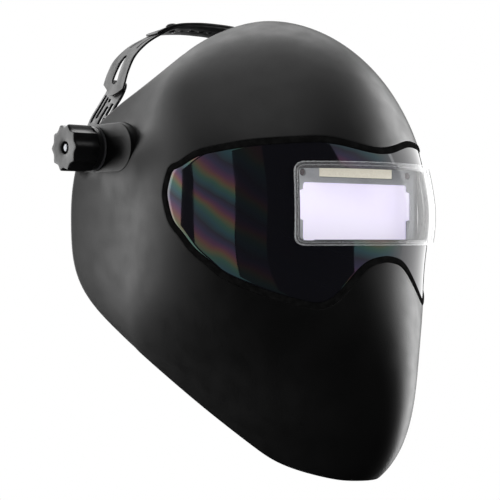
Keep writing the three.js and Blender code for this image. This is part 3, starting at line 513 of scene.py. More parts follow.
def scaled(colour, share):
    return tuple(min(1, c * share) for c in colour)


def per_metre(size_mm):
    """Scale of a texture on object coordinates whose features are about this large."""
    return 1 / (size_mm * MM)


def coordinates(material):
    return add_node(material, "TexCoord").outputs["Object"]


def noise(material, size_mm, detail=2.0, stretch=(1, 1, 1), distortion=0.0):
    laid = add_node(material, "Mapping", {"Vector": coordinates(material), "Scale": stretch}).outputs[0]
    inputs = {"Vector": laid, "Scale": per_metre(size_mm), "Detail": detail, "Distortion": distortion}
    return add_node(material, "TexNoise", inputs).outputs["Fac"]


def ramp(material, value, *stops):
    """A colour ramp; each stop is (place, grey level or colour)."""
    made = add_node(material, "ValToRGB", {"Fac": value})
    elements = made.color_ramp.elements
    while len(elements) < len(stops):
        elements.new(0.5)
    for element, (place, colour) in zip(elements, stops):
        element.position = place
        element.color = grey(colour) if isinstance(colour, (int, float)) else (*colour, 1)
    return made.outputs["Color"]


def bumped(material, height, depth_mm, strength=1.0, under=None):
    inputs = {"Height": height, "Distance": depth_mm * MM, "Strength": strength}
    if under is not None:
        inputs["Normal"] = under
    return add_node(material, "Bump", inputs).outputs["Normal"]


def slanted(material):
    """0 where the surface faces the eye and 1 where it is seen edge-on."""
    return add_node(material, "LayerWeight", {"Blend": 0.5}).outputs["Facing"]


def mixed(material, share, first, second):
    return add_node(material, "MixShader", {0: share, 1: first, 2: second}).outputs[0]


def shader_of(material, kind, colour, **inputs):
    return add_node(material, f"Bsdf{kind}", {"Color": colour, **inputs}).outputs[0]


def principled(name, **values):
    material = bpy.data.materials.new(name)
    MATERIALS[name] = material
    material.use_nodes = True
    shader = material.node_tree.nodes["Principled BSDF"]
    for key, value in values.items():
        shader.inputs[key.replace("_", " ")].default_value = value
    return material, shader


def bare_material(name):
    """A material without the shader that Blender starts it with."""
    material, shader = principled(name)
    material.node_tree.nodes.remove(shader)
    return material


def feed(material, shader, **sockets):
    for key, socket in sockets.items():
        material.node_tree.links.new(socket, shader.inputs[key.replace("_", " ")])


def show(material, shader):
    feed(material, material.node_tree.nodes["Material Output"], Surface=shader)


def moulded_plastic(name, colour, rough, grain_mm, grain_depth_mm, specular=0.5, slant_loss=0.0):
    """Moulded plastic: a fine grain and a slow unevenness in gloss and tone. slant_loss is how much of
    its sheen a rough texture swallows at a slant."""
    material, shader = principled(name, Specular_IOR_Level=specular)
    light = scaled(colour, 1.2)
    tone = ramp(material, noise(material, 45, 4), (0.35, scaled(colour, 0.8)), (0.65, light))
    gloss = ramp(material, noise(material, 14, 5), (0.3, rough * 0.9), (0.7, min(1, rough * 1.1)))
    grain = bumped(material, noise(material, grain_mm, 3), grain_depth_mm)
    waves = bumped(material, noise(material, 60, 1), 0.15, under=grain)
    feed(material, shader, Base_Color=tone, Roughness=gloss, Normal=waves)
    if slant_loss:
        lost = ramp(material, slanted(material), (0.6, 0.0), (0.95, slant_loss))
        texture = shader_of(material, "Diffuse", (*light, 1))
        show(material, mixed(material, lost, shader.outputs[0], texture))


def matte_rubber(name, colour):
    """Soft black rubber with a fine bloom and no shine."""
    material, shader = principled(name, Roughness=0.9, IOR=1.02)
    bloom = ramp(material, noise(material, 4, 3), (0.4, colour), (0.75, scaled(colour, 2)))
    feed(material, shader, Base_Color=bloom, Normal=bumped(material, noise(material, 0.6, 2), 0.03))


def sheened_plastic(name, colour, share, rough):
    """Black plastic with an even, milky sheen that doesn't grow at a slant."""
    material = bare_material(name)
    grain = bumped(material, noise(material, 1.6, 3), 0.03)
    streaks = noise(material, 9, 3, stretch=(1, 1, 0.4))
    mottled = ramp(material, streaks, (0.3, share * 0.75), (0.7, share * 1.25))
    black = shader_of(material, "Diffuse", (*colour, 1), Normal=grain)
    shine = shader_of(material, "Glossy", grey(1), Roughness=rough, Normal=grain)
    show(material, mixed(material, mottled, black, shine))


def machined_metal(name, colour, rough, ring_axis):
    """Turned metal, with fine rings round its axis."""
    material, shader = principled(name, Base_Color=(*colour, 1), Metallic=1.0)
    inputs = {"Vector": coordinates(material), "Scale": per_metre(2.5), "Distortion": 0.4}
    made = add_node(material, "TexWave", inputs, wave_type="RINGS", rings_direction=ring_axis)
    rings = made.outputs["Fac"]
    gloss = ramp(material, rings, (0, rough * 0.8), (1, rough * 1.2))
    feed(material, shader, Roughness=gloss, Normal=bumped(material, rings, 0.02))


STREAK_TILT = math.radians(-33)
STREAK_WIDTH_MM = 80
STREAK_COLOURS = (
    (0.0, (0.14, 0.17, 0.22)), (0.18, (0.14, 0.34, 0.4)), (0.34, (0.2, 0.46, 0.34)),
    (0.46, (0.5, 0.46, 0.24)), (0.56, (0.66, 0.3, 0.24)), (0.68, (0.44, 0.18, 0.36)),
    (0.82, (0.2, 0.17, 0.34)), (1.0, (0.13, 0.13, 0.18)),
)
SLANT_TINT = (0.42, 0.42, 0.44, 1)


def visor_coating(name):
    """Near-black polycarbonate whose hard coat shows faint streaks of colour, like oil on water. They
    fade to a plain grey at a slant."""
    material, shader = principled(
        name, Base_Color=(0.003, 0.003, 0.004, 1), Roughness=0.04, Specular_IOR_Level=0.75
    )
    turned_to = {"Vector": coordinates(material), "Rotation": (STREAK_TILT, 0.0, 0.0)}
    tilt = add_node(material, "Mapping", turned_to).outputs[0]
    warp = {0: noise(material, 70, 3), "Scale": 0.03}
    bent = add_node(material, "VectorMath", warp, operation="SCALE").outputs[0]
    laid = add_node(material, "VectorMath", {0: tilt, 1: bent}, operation="ADD").outputs[0]
    waves = {
        "Vector": laid, "Scale": per_metre(STREAK_WIDTH_MM), "Distortion": 2.2, "Detail": 2.0,
        "Detail Scale": 1.0, "Detail Roughness": 0.5,
    }
    bands = add_node(material, "TexWave", waves, bands_direction="Z", wave_profile="SAW").outputs["Fac"]
    colours = ramp(material, bands, *STREAK_COLOURS)
    fading = ramp(material, slanted(material), (0.3, 0.0), (0.44, 1.0))
    tint = add_node(material, "Mix", {"Factor": fading, 6: colours, 7: SLANT_TINT}, data_type="RGBA")
    smear = ramp(material, noise(material, 22, 4, distortion=1.0), (0.4, 0.03), (0.75, 0.09))
    waviness = bumped(material, noise(material, 35, 2), 0.08)
    feed(material, shader, Specular_Tint=tint.outputs[2], Roughness=smear, Normal=waviness)


def clear_plastic(name, haze):
    """Clear plastic as one thin layer: it lets light straight through, shines, and is a little hazy."""
    material = bare_material(name)
    through = shader_of(material, "Transparent", grey(1))
    milk = shader_of(material, "Diffuse", (0.9, 0.91, 0.93, 1))
    scratches = noise(material, 0.7, 3, stretch=(1, 1, 8))
    hazy = mixed(material, ramp(material, scratches, (0.5, haze * 0.6), (0.8, haze * 1.4)), through, milk)
    shine = shader_of(material, "Glossy", grey(1), Roughness=0.05)
    steep = add_node(material, "Math", {0: slanted(material), 1: 5.0}, operation="POWER").outputs[0]
    share = add_node(material, "Math", {0: steep, 1: 0.5, 2: 0.03}, operation="MULTIPLY_ADD").outputs[0]
    show(material, mixed(material, share, hazy, shine))


def painted_glow(name, rough, cloud_mm, detail, dull, pale, glow):
    """A pale surface, clouded between two tones, with a painted glow: it gives off some light of its own
    though it is no lamp.
    """
    material, shader = principled(name, Roughness=rough, Emission_Strength=glow)
    tone = ramp(material, noise(material, cloud_mm, detail), (0.3, dull), (0.7, pale))
    feed(material, shader, Base_Color=tone, Emission_Color=tone)


def knitted_cloth(name, colour):
    """Brushed cloth over foam: a fine knit with a soft fuzz."""
    material, shader = principled(name, Roughness=0.95, Sheen_Weight=0.4, Sheen_Roughness=0.5)
    inputs = {"Vector": coordinates(material), "Scale": per_metre(1.3)}
    stitches = add_node(material, "TexVoronoi", inputs).outputs["Distance"]
    tone = ramp(material, stitches, (0.1, colour), (0.7, scaled(colour, 0.5)))
    knit = bumped(material, stitches, 0.35, strength=0.8)
    feed(material, shader, Base_Color=tone, Normal=bumped(material, noise(material, 9, 4), 0.5, under=knit))


# name: colour, roughness, then the grain's size and depth in millimetres
PLAIN_PLASTICS = {
    "black_plastic": ((0.008, 0.008, 0.009), 0.35, 0.8, 0.02),
    "filter_case_plastic": ((0.3, 0.31, 0.33), 0.35, 0.6, 0.012),
    "sensor_window": ((0.04, 0.012, 0.02), 0.12, 2.0, 0.004),
    "circuit_board": ((0.02, 0.1, 0.035), 0.45, 0.5, 0.02),
    "dial_plastic": ((0.012, 0.012, 0.013), 0.45, 0.7, 0.02),
    "washer_plastic": ((0.02, 0.02, 0.022), 0.4, 0.7, 0.02),
    "white_plastic": ((0.62, 0.62, 0.58), 0.4, 0.7, 0.015),
}
for name, finish in PLAIN_PLASTICS.items():
    moulded_plastic(name, *finish)
moulded_plastic("shell_plastic", (0.002, 0.002, 0.0022), 0.46, 0.9, 0.045, specular=0.55, slant_loss=0.75)
moulded_plastic("knob_plastic", (0.004, 0.004, 0.0045), 0.4, 0.55, 0.05, specular=0.6)
sheened_plastic("strap_plastic", (0.006, 0.006, 0.0065), share=0.09, rough=0.3)
matte_rubber("gasket_rubber", (0.003, 0.003, 0.003))
visor_coating("visor_plastic")
clear_plastic("clear_plastic", haze=0.05)
# painted highlight: the cover's rounded edges get this whiter haze, which stands in for the light they catch
# inside the clear plastic
clear_plastic("clear_edge_painted_glint", haze=0.3)
# painted glow: the filter's crystal and the solar cell are no lamps; their emission is painted light that
# makes them look pale and lit
painted_glow("filter_glass", 0.12, 60, 1, dull=(0.72, 0.66, 0.86), pale=(0.84, 0.8, 0.93), glow=0.5)
painted_glow("solar_cell", 0.3, 1.2, 3, dull=(0.62, 0.58, 0.47), pale=(0.7, 0.66, 0.55), glow=0.4)
machined_metal("battery_steel", (0.62, 0.63, 0.65), 0.3, "Y")
machined_metal("stud_steel", (0.3, 0.31, 0.33), 0.42, "X")
machined_metal("nut_brass", (0.72, 0.5, 0.2), 0.3, "X")
knitted_cloth("foam_fabric", (0.03, 0.03, 0.033))


# ---------- shell ----------
SPOKES_BELOW = 92  # on each side, from the window's bottom centre to its end
SPOKES_ABOVE = 84
SHELL_RINGS = 50
CROWDING = 0.08  # draws the rings together at both edges of the wall
LIP = SHELL_WALL / 2
LIP_STEPS = 5
WINDOW_END_Z = -33
FLAT_REACH = 17.5  # the wall is flat this far round the pivot pad
FLAT_FADE = 3.5


def height_on_dome(z):
    """Height as a distance along the shell, so that steps of it stay even over the crown."""
    reach = DOME_TOP_Z - DOME_BASE_Z
    rise = np.clip((z - DOME_BASE_Z) / reach, 0, 1)
    return np.where(z > DOME_BASE_Z, DOME_BASE_Z + reach * np.arcsin(rise), z)


def height_in_z(v):
    reach = DOME_TOP_Z - DOME_BASE_Z
    return np.where(v > DOME_BASE_Z, DOME_BASE_Z + reach * np.sin(np.maximum(0, v - DOME_BASE_Z) / reach), v)


def rim_half():
    """Half of the shell's outer edge as [q, height along the shell], from chin centre to crown centre."""
    z = height_in_z(np.linspace(height_on_dome(CHIN_Z + LIP), height_on_dome(CROWN_Z), 900))
    q = q_at_y(z, rim_y(z) - LIP)
    side = np.stack([q, height_on_dome(z)], 1)
    share = np.linspace(0, 1, 40)[:-1, None]
    inwards = np.concatenate([share, np.ones_like(share)], 1)
    line = np.concatenate([side[0] * inwards, side, (side[-1] * inwards)[::-1]])
    end = int(np.argmin(np.abs(line[:, 1] - WINDOW_END_Z)))
    place = lambda points: skin(height_in_z(points[:, 1]), points[:, 0])
    low = resampled(line[: end + 1], SPOKES_BELOW, place(line[: end + 1]))
    high = resampled(line[end:], SPOKES_ABOVE, place(line[end:]))
    return smoothed(np.concatenate([low, high[1:]]), RIM_SMOOTHING)


def around_pad(points):
    """Distance of points from the middle line of the pivot pad, in side view."""
    y = points[..., 1]
    nearest = np.clip(y, PIVOT_PAD_FRONT_Y, 0)
    return np.hypot(y - nearest, points[..., 2])


PAD_BLEND = 17  # the wall swells out to meet the pad over this distance below it
MEET_REACH = 0.7  # from this sine above the pad's middle to the same below, the wall rises to meet it


def planed(points):
    """The side walls planed flat round the pivots, where they would stand out past the pad, and
    swollen out to meet it from below."""
    radius = around_pad(points)
    depth = PIVOT_PAD_X - np.abs(points[..., 0])
    over = np.maximum(0, GAP / 2 - depth) * (1 - eased((radius - FLAT_REACH) / FLAT_FADE))
    below = eased(0.5 - 0.5 * points[..., 2] / np.maximum(1, radius) / MEET_REACH)
    near = np.exp(-((np.maximum(0, radius - PIVOT_PAD_R) / PAD_BLEND) ** 2))
    swell = np.maximum(0, depth - GAP) * below * near
    shaped = points.copy()
    shaped[..., 0] += np.sign(points[..., 0]) * (swell - over)
    return shaped


def lip(outer, inner, inside, steps=LIP_STEPS):
    """Loops that round the edge from the outer skin over to the inner one. `inside` is the loop next to
    the outer one."""
    middle = (outer + inner) / 2
    half = (outer - inner) / 2
    along = unit(np.roll(outer, -1, 0) - np.roll(outer, 1, 0))
    away = unit(np.cross(along, half))
    facing = np.sum((outer - inside) * away, -1, keepdims=True)
    away *= np.sign(facing) * np.linalg.norm(half, axis=-1, keepdims=True)
    turns = np.linspace(0, np.pi, steps + 2)[1:-1]
    return [middle + half * np.cos(turn) + away * np.sin(turn) for turn in turns]


def shell_wall():
    """The shell as one closed skin: out from the window's edge to the rim, over it and back inside."""
    window = window_half(LIP, SPOKES_BELOW, SPOKES_ABOVE)
    turn = np.degrees(window[:, 0] / VISOR_RADIUS)
    start = np.stack([q_at_turn(window[:, 1], turn), height_on_dome(window[:, 1])], 1)
    end = rim_half()
    outer = []
    inner = []
    for ring in range(SHELL_RINGS + 1):
        share = ring / SHELL_RINGS
        share -= CROWDING * math.sin(2 * math.pi * share)
        line = whole((1 - share) * start + share * end)
        z = height_in_z(line[:, 1])
        points = planed(skin(z, line[:, 0]))
        outer.append(points)
        inner.append(points - skin_normal(z, line[:, 0]) * SHELL_WALL)
    rim = lip(outer[-1], inner[-1], outer[-2])
    window_lip = lip(outer[0], inner[0], outer[1])
    return bridge([*outer, *rim, *inner[::-1], *window_lip[::-1]], wrap=True)


def pad_outline():
    """A slot-shaped outline: round behind, round in front and straight between."""
    turn = np.linspace(-np.pi / 2, np.pi / 2, 24)
    across, up = PIVOT_PAD_R * np.cos(turn), PIVOT_PAD_R * np.sin(turn)
    back = np.stack([across, up], 1)
    front = np.stack([PIVOT_PAD_FRONT_Y - across, -up], 1)
    return np.concatenate([back, front])


shell = piece("shell_skin", shell_wall(), "shell_plastic", "shell", "helmet_shell")
pad_lines = [pad_outline(), circle(BUSH_BORE_R, steps=36)]
for side_name, side in SIDES:
    pad = plate(pad_lines, PIVOT_PAD_INNER_X, PIVOT_PAD_X, facing_side(side), bevel=1.1)
    piece(f"pivot_pad_{side_name}", pad, "shell_plastic", "shell")

# ---------- visor, gasket and front cover ----------
GASKET_OUTER = 1.1  # the bead overlaps the rolled edge of the window
GASKET_INNER = -3.5
GASKET_LOW = -3.0
GASKET_HIGH = 0.6
GASKET_SQUARENESS = 0.55  # 1 makes the bead's section round, less makes it boxier
VISOR_EDGE = -2.75  # the visor ends this far inside the window's outline
VISOR_SUNK = 0.3
VISOR_THICKNESS = 2
VISOR_LIP_STEPS = 3
VISOR_RINGS = 26
SEAT = 3.5  # the visor's opening is this much smaller than the cover
LOOP_HALF = 72  # steps on each side, below and above


def gasket_bead():
    """A rounded rubber bead along the whole edge of the window."""
    middle = (GASKET_OUTER + GASKET_INNER) / 2
    half_width = (GASKET_OUTER - GASKET_INNER) / 2
    middle_height = (GASKET_HIGH + GASKET_LOW) / 2
    half_height = (GASKET_HIGH - GASKET_LOW) / 2
    squared = lambda share: np.sign(share) * abs(share) ** GASKET_SQUARENESS
    loops = []
    for turn in np.linspace(0, 2 * np.pi, 17)[:-1]:
        across, up = squared(math.cos(turn)), squared(math.sin(turn))
        line = whole(window_half(middle + half_width * across, LOOP_HALF * 2, LOOP_HALF * 2))
        loops.append(on_skin(line, middle_height + half_height * up))
    return bridge(loops, wrap=True)


def visor_sheet():
    """The wrap-round visor, with the rounded opening that the front cover closes."""
    start = cover_half(-SEAT + VISOR_THICKNESS / 2, LOOP_HALF, LOOP_HALF)
    end = window_half(VISOR_EDGE - VISOR_THICKNESS / 2, LOOP_HALF, LOOP_HALF)
    outer = []
    inner = []
    for share in np.linspace(0, 1, VISOR_RINGS + 1):
        line = whole((1 - share) * start + share * end)
        outer.append(on_skin(line, -VISOR_SUNK))
        inner.append(on_skin(line, -VISOR_SUNK - VISOR_THICKNESS))
    edge = lip(outer[-1], inner[-1], outer[-2], VISOR_LIP_STEPS)
    opening = lip(outer[0], inner[0], outer[1], VISOR_LIP_STEPS)
    return bridge([*outer, *edge, *inner[::-1], *opening[::-1]], wrap=True)


COVER_EDGE_R = 0.9
COVER_FACE_RINGS = 9


def cover_box():
    """The front cover: a shallow box with a curved face. Its points run from the middle of the face
    over the edge, down the wall and back up inside."""
    middle = np.array([0, (COVER_TOP_Z + COVER_BOTTOM_Z) / 2])

    def loop(grow, height, scale=1.0):
        line = whole(cover_half(grow, LOOP_HALF // 2, LOOP_HALF // 2))
        return on_skin(middle + (line - middle) * scale, height)

    scales = np.linspace(0, 1, COVER_FACE_RINGS + 1)[1:]
    inner_height = COVER_HEIGHT - COVER_FACE
    face = [on_skin(middle[None, :], COVER_HEIGHT)]
    face += [loop(-COVER_EDGE_R, COVER_HEIGHT, s) for s in scales]
    edge = []
    for turn in np.radians([22.5, 45, 67.5, 90]):
        drop = COVER_EDGE_R * (1 - math.cos(turn))
        edge.append(loop(-COVER_EDGE_R * (1 - math.sin(turn)), COVER_HEIGHT - drop))
    wall = [loop(0, (COVER_HEIGHT + GAP) / 2), loop(0, GAP + 0.25), loop(-0.25, GAP)]
    wall += [loop(-COVER_WALL + 0.25, GAP), loop(-COVER_WALL, GAP + 0.25)]
    inside = [loop(-COVER_WALL, inner_height - 0.4), loop(-COVER_WALL - 0.4, inner_height)]
    back = [loop(-COVER_WALL - 0.4, inner_height, s) for s in scales[-2::-1]]
    back += [on_skin(middle[None, :], inner_height)]
    # rims marks the faces of the rounded edges, which take the whiter material as a painted highlight
    rims = [0] * (len(face) - 1) + [1] * len(edge) + [0] * len(wall) + [1] * len(inside) + [0] * len(back)
    return bridge(face + edge + wall + inside + back, wrap=False), rims


piece("gasket_bead", gasket_bead(), "gasket_rubber", "shell", "visor_gasket", sharp=60)
visor = piece("visor_sheet", visor_sheet(), "visor_plastic", "shell", "panoramic_visor")
cover_part, cover_rims = cover_box()
cover = piece("front_cover", cover_part, "clear_plastic", "shell", "front_cover_lens", sharp=50)
# the rounded edges of the cover take the whiter material: a painted highlight
cover.data.materials.append(MATERIALS["clear_edge_painted_glint"])
for i, face in enumerate(cover.data.polygons):
    face.material_index = cover_rims[i // (LOOP_HALF * 2)]

# ---------- auto-darkening filter ----------
FILTER_FRONT_Y = -156
FILTER_BACK_Y = -146
# half width, half height and middle height of what is cut as a box with round corners
CASE_BOX = (57, 36, -42)
WINDOW_BOX = (49.5, 19.7, -47)
SOLAR_BOX = (34.5, 4, -19)
BOARD_BOX = (52, 6.6, -16.5)
NOTCH_DEPTH = 3.5
NOTCH_HALF_HEIGHT = 10.5
NOTCH_MIDDLE_Z = -42.5
CASE_WALL = 2.4
CASE_EDGE = 0.7
CASE_BEVEL = 0.35
GLASS_FRONT_Y = FILTER_FRONT_Y + 1.8
GLASS_THICKNESS = 3.4
SENSOR_X = 50
SENSOR_Z = -20.5
SENSOR_R = 2.2
CELL_FRONT_Y = FILTER_FRONT_Y + 0.3
CELL_THICKNESS = 1.6
BOARD_FRONT_Y = FILTER_FRONT_Y + 2.9
BOARD_THICKNESS = 1.4
BATTERY_X = 44
BATTERY_R = 6
BATTERY_THICKNESS = 2.8
HOLDER_FRONT_Y = -150.5
HOLDER_BACK_Y = -143
HOLDER_BORDER = 9
HOLDER_BORDER_Z = 4
HOLDER_ARM_HALF_HEIGHT = 13
RETAINER_FRONT_Y = -142.6
RETAINER_THICKNESS = 1.8
LENS_FRONT_Y = FILTER_BACK_Y + GAP
LENS_THICKNESS = 1.2
DIAL_X = 24
DIAL_R = 7.5
DIAL_SHAFT_R = 2.1
DIAL_FRONT_Y = -140.4
DIAL_DISC = 4.9
DIAL_GRIP = 3
DIAL_SHAFT_TIP_Y = -145.6
KNURLS = 30
KNURL_DEPTH = 0.35


def grown_box(box, grow, corner, steps=6):
    half_x, half_z, middle_z = box
    return rounded_box(half_x + grow, half_z + grow, corner, 0, middle_z, steps)


def notched_window():
    """Outline of the filter's window, with a shallow notch in each end."""
    box = grown_box(WINDOW_BOX, 0, 2, steps=4)
    low = NOTCH_MIDDLE_Z - NOTCH_HALF_HEIGHT
    high = NOTCH_MIDDLE_Z + NOTCH_HALF_HEIGHT
    end = WINDOW_BOX[0]
    deep = end + NOTCH_DEPTH
    right = [[end, low], [deep, low + 1], [deep, high - 1], [end, high]]
    left = [[-x, z] for x, z in right[::-1]]
    corner = len(box) // 4
    return np.array([*box[:corner], *right, *box[corner : 3 * corner], *left, *box[3 * corner :]])


def flat_in_front(outlines, low, high, bevel):
    return plate(outlines, low, high, facing_front(), bevel)


def cartridge():
    """The case: a front plate with the window, a back plate behind it and the wall that joins them."""
    outside = grown_box(CASE_BOX, 0, 4)
    sensors = [circle(SENSOR_R + GAP, side * SENSOR_X, SENSOR_Z) for _, side in SIDES]
    openings = [notched_window(), grown_box(SOLAR_BOX, GAP, 0.8), *sensors]
    front = flat_in_front([outside, *openings], FILTER_FRONT_Y, GLASS_FRONT_Y - GAP, CASE_BEVEL)
    inside = grown_box(CASE_BOX, -CASE_WALL, 2)
    wall = flat_in_front([outside, inside], FILTER_FRONT_Y + CASE_EDGE, FILTER_BACK_Y, CASE_BEVEL)
    pockets = [grown_box(BOARD_BOX, 0.8, 1), grown_box(WINDOW_BOX, 0, 2)]
    behind_glass = GLASS_FRONT_Y + GLASS_THICKNESS + GAP
    back = flat_in_front([outside, *pockets], behind_glass, FILTER_BACK_Y, CASE_BEVEL)
    return together(front, wall, back)


def holder_arm(side):
    """A flat arm that runs from the holder's end back to the shell's side."""
    root = CASE_BOX[0] + HOLDER_BORDER - 3
    outline = np.array([[root, -146], [root, -150], [86, -122], [83, -120]], float)
    lift = lambda a, b, t: np.stack([side * a, b, t + CASE_BOX[2]], 1)
    return plate([outline], -HOLDER_ARM_HALF_HEIGHT, HOLDER_ARM_HALF_HEIGHT, lift, 0.5)


def holder():
    half_x, half_z, middle_z = CASE_BOX
    outside = rounded_box(half_x + HOLDER_BORDER, half_z + HOLDER_BORDER_Z, HOLDER_BORDER, 0, middle_z)
    opening = grown_box(CASE_BOX, GAP, 4)
    ring = flat_in_front([outside, opening], HOLDER_FRONT_Y, HOLDER_BACK_Y, 0.6)
    return together(ring, holder_arm(-1), holder_arm(1))


def retainer():
    """The plate that clips the inner lens in, with holes for the dials' shafts."""
    holes = [circle(DIAL_SHAFT_R + 0.5, side * DIAL_X, BOARD_BOX[2]) for _, side in SIDES]
    outlines = [grown_box(CASE_BOX, 2, 5), grown_box(WINDOW_BOX, -1, 2), *holes]
    return flat_in_front(outlines, RETAINER_FRONT_Y, RETAINER_FRONT_Y + RETAINER_THICKNESS, 0.4)


def disc_part(radius, low, thickness, place, edge=0.3, steps=40):
    """A plain disc with softened edges."""
    high = low + thickness
    profile = [
        [0, low], [radius - edge, low], [radius, low + edge],
        [radius, high - edge], [radius - edge, high], [0, high],
    ]
    return turned(profile, place, steps)


def dial(side):
    """A setting dial: a knurled disc with a raised grip bar, on a shaft that reaches into the case."""
    back = DIAL_FRONT_Y + DIAL_DISC
    place = facing_front(side * DIAL_X, BOARD_BOX[2])
    profile = [
        [0, DIAL_SHAFT_TIP_Y], [DIAL_SHAFT_R - 0.3, DIAL_SHAFT_TIP_Y], [DIAL_SHAFT_R, DIAL_SHAFT_TIP_Y + 0.3],
        [DIAL_SHAFT_R, DIAL_FRONT_Y], [DIAL_R - 0.5, DIAL_FRONT_Y], [DIAL_R, DIAL_FRONT_Y + 0.5, KNURL_DEPTH],
        [DIAL_R, back - 0.6, KNURL_DEPTH], [DIAL_R - 0.6, back], [0, back],
    ]
    body = turned(profile, place, steps=4 * KNURLS, lobes=KNURLS)
    grip = plate([rounded_box(1.3, DIAL_R - 1, 1)], back - 0.5, back + DIAL_GRIP, place, 0.4)
    return together(body, grip)


piece("case_body", cartridge(), "filter_case_plastic", "shell", "cartridge_case")
piece("holder_frame", holder(), "filter_case_plastic", "shell", "filter_holder")
CRYSTAL_BOX = (WINDOW_BOX[0] + 4.5, WINDOW_BOX[1] + 2, WINDOW_BOX[2])
# name: box, growth, corner, front, thickness, bevel, slot and node
FLAT_PIECES = {
    "crystal_window": (
        CRYSTAL_BOX, 0, 1, GLASS_FRONT_Y, GLASS_THICKNESS, 0.3, "filter_glass", "filter_glass",
    ),
    "solar_strip": (SOLAR_BOX, 0, 0.5, CELL_FRONT_Y, CELL_THICKNESS, 0.2, "solar_cell", "solar_cell"),
    "board": (BOARD_BOX, 0, 0.8, BOARD_FRONT_Y, BOARD_THICKNESS, 0.15, "circuit_board", "circuit_board"),
    "inner_lens": (
        WINDOW_BOX, 2.7, 2, LENS_FRONT_Y, LENS_THICKNESS, 0.2, "clear_plastic", "inner_cover_lens",
    ),
}
for name, (box, grow, corner, front_y, thickness, bevel, slot, node) in FLAT_PIECES.items():
    part = flat_in_front([grown_box(box, grow, corner)], front_y, front_y + thickness, bevel)
    piece(name, part, slot, "shell", node)
piece("retainer_plate", retainer(), "black_plastic", "shell", "filter_retainer")
piece("shade_knob", dial(-1), "dial_plastic", "shade_dial", "shade_dial")
piece("sensitivity_knob", dial(1), "dial_plastic", "sensitivity_dial", "sensitivity_dial")
for side_name, side in SIDES:
    sensor = disc_part(SENSOR_R, CELL_FRONT_Y, CELL_THICKNESS, facing_front(side * SENSOR_X, SENSOR_Z))
    piece(f"sensor_{side_name}", sensor, "sensor_window", "shell", f"arc_sensor_{side_name}")
    at_battery = facing_front(side * BATTERY_X, BOARD_BOX[2])
    cell = disc_part(BATTERY_R, BOARD_FRONT_Y + BOARD_THICKNESS + GAP, BATTERY_THICKNESS, at_battery)
    piece(f"button_cell_{side_name}", cell, "battery_steel", "shell", f"battery_{side_name}")

# ---------- pivots ----------
KNOB_R = 17.4
KNOB_INNER_X = 118
KNOB_OUTER_X = 142.7
KNOB_SCALLOPS = 10
KNOB_SCALLOP_DEPTH = 2.1
KNOB_COLLAR = 4
KNOB_HOLE_R = 4.6
NUT_R = 7.4
NUT_FACE_X = KNOB_OUTER_X - 6
STUD_R = 3.9
STUD_TIP_X = KNOB_OUTER_X - 1.4
STUD_HEAD_R = 9
STUD_HEAD_X = (99.5, 102.7)
THREAD_START = 14  # the thread starts this far from the head
THREAD_PITCH = 1.0
THREAD_DEPTH = 0.3
WASHER_X = (116.3, 117.6)
WASHER_R = 16.6
BUSH_FLANGE_R = 10
ANGLE_STOP_X = (105.6, 106.8)
ANGLE_STOP_R = 12
STOP_PIN_R = 1.8
STOP_PIN_AT = (-9.5, -3)


def tension_knob(side):
    """The knob, from the mouth of its hole over the scalloped grip to the foot and up into its bore."""
    face = KNOB_OUTER_X
    foot = KNOB_INNER_X + KNOB_COLLAR
    collar_r = KNOB_R - 1.4
    dip = KNOB_SCALLOP_DEPTH
    mouth = [[KNOB_HOLE_R, face - 2.2], [KNOB_HOLE_R + 0.15, face - 1.2], [KNOB_HOLE_R + 0.6, face - 0.9]]
    crown = [
        [KNOB_R * 0.5, face - 0.5, dip * 0.1], [KNOB_R * 0.7, face - 0.2, dip * 0.3],
        [KNOB_R * 0.87, face, dip * 0.6], [KNOB_R - 0.9, face - 0.15, dip],
        [KNOB_R - 0.35, face - 0.5, dip], [KNOB_R - 0.05, face - 1.2, dip],
    ]
    grip = [
        [KNOB_R, face - 2.2, dip], [KNOB_R, face - 12, dip], [KNOB_R - 0.1, foot + 1, dip],
        [KNOB_R - 0.7, foot + 0.2, dip], [collar_r + 0.3, foot, 0.3],
    ]
    collar = [[collar_r, foot - 0.5], [collar_r, KNOB_INNER_X + 0.5], [collar_r - 0.5, KNOB_INNER_X]]
    bore = [
        [NUT_R + 0.4, KNOB_INNER_X], [NUT_R, KNOB_INNER_X + 0.4], [NUT_R, NUT_FACE_X],
        [KNOB_HOLE_R, NUT_FACE_X],
    ]
    profile = mouth + crown + grip + collar + bore
    return turned(profile, facing_side(side), steps=KNOB_SCALLOPS * 16, lobes=KNOB_SCALLOPS, wrap=True)


def ring_profile(outer, inner, low, high, edge):
    """Half the section of a flat ring with softened edges."""
    return [
        [inner, low + edge], [inner + edge, low], [outer - edge, low], [outer, low + edge],
        [outer, high - edge], [outer - edge, high], [inner + edge, high], [inner, high - edge],
    ]


def ring_part(outer, inner, low, high, place, edge=0.25):
    return turned(ring_profile(outer, inner, low, high, edge), place, steps=56, wrap=True)


def pivot_stud(side):
    """A round-headed stud, with turned thread grooves on its shank and a plain thinner end."""
    low, high = STUD_HEAD_X
    head_r = STUD_HEAD_R
    tip = STUD_TIP_X
    end_r = STUD_R - 1
    head = [
        [0, low], [head_r - 1.4, low], [head_r - 0.3, low + 0.5], [head_r, low + 1.2],
        [head_r, high - 0.3], [head_r - 0.3, high], [STUD_R, high],
    ]
    thread = []
    for x in np.arange(high + THREAD_START, tip - 4, THREAD_PITCH):
        thread += [[STUD_R, x], [STUD_R - THREAD_DEPTH, x + THREAD_PITCH / 2]]
    end = [
        [STUD_R, tip - 3], [end_r, tip - 2.2], [end_r, tip - 0.5],
        [end_r - 0.4, tip - 0.1], [end_r - 1.2, tip], [0, tip + 0.1],
    ]
    return turned(head + thread + end, facing_side(side), 40)


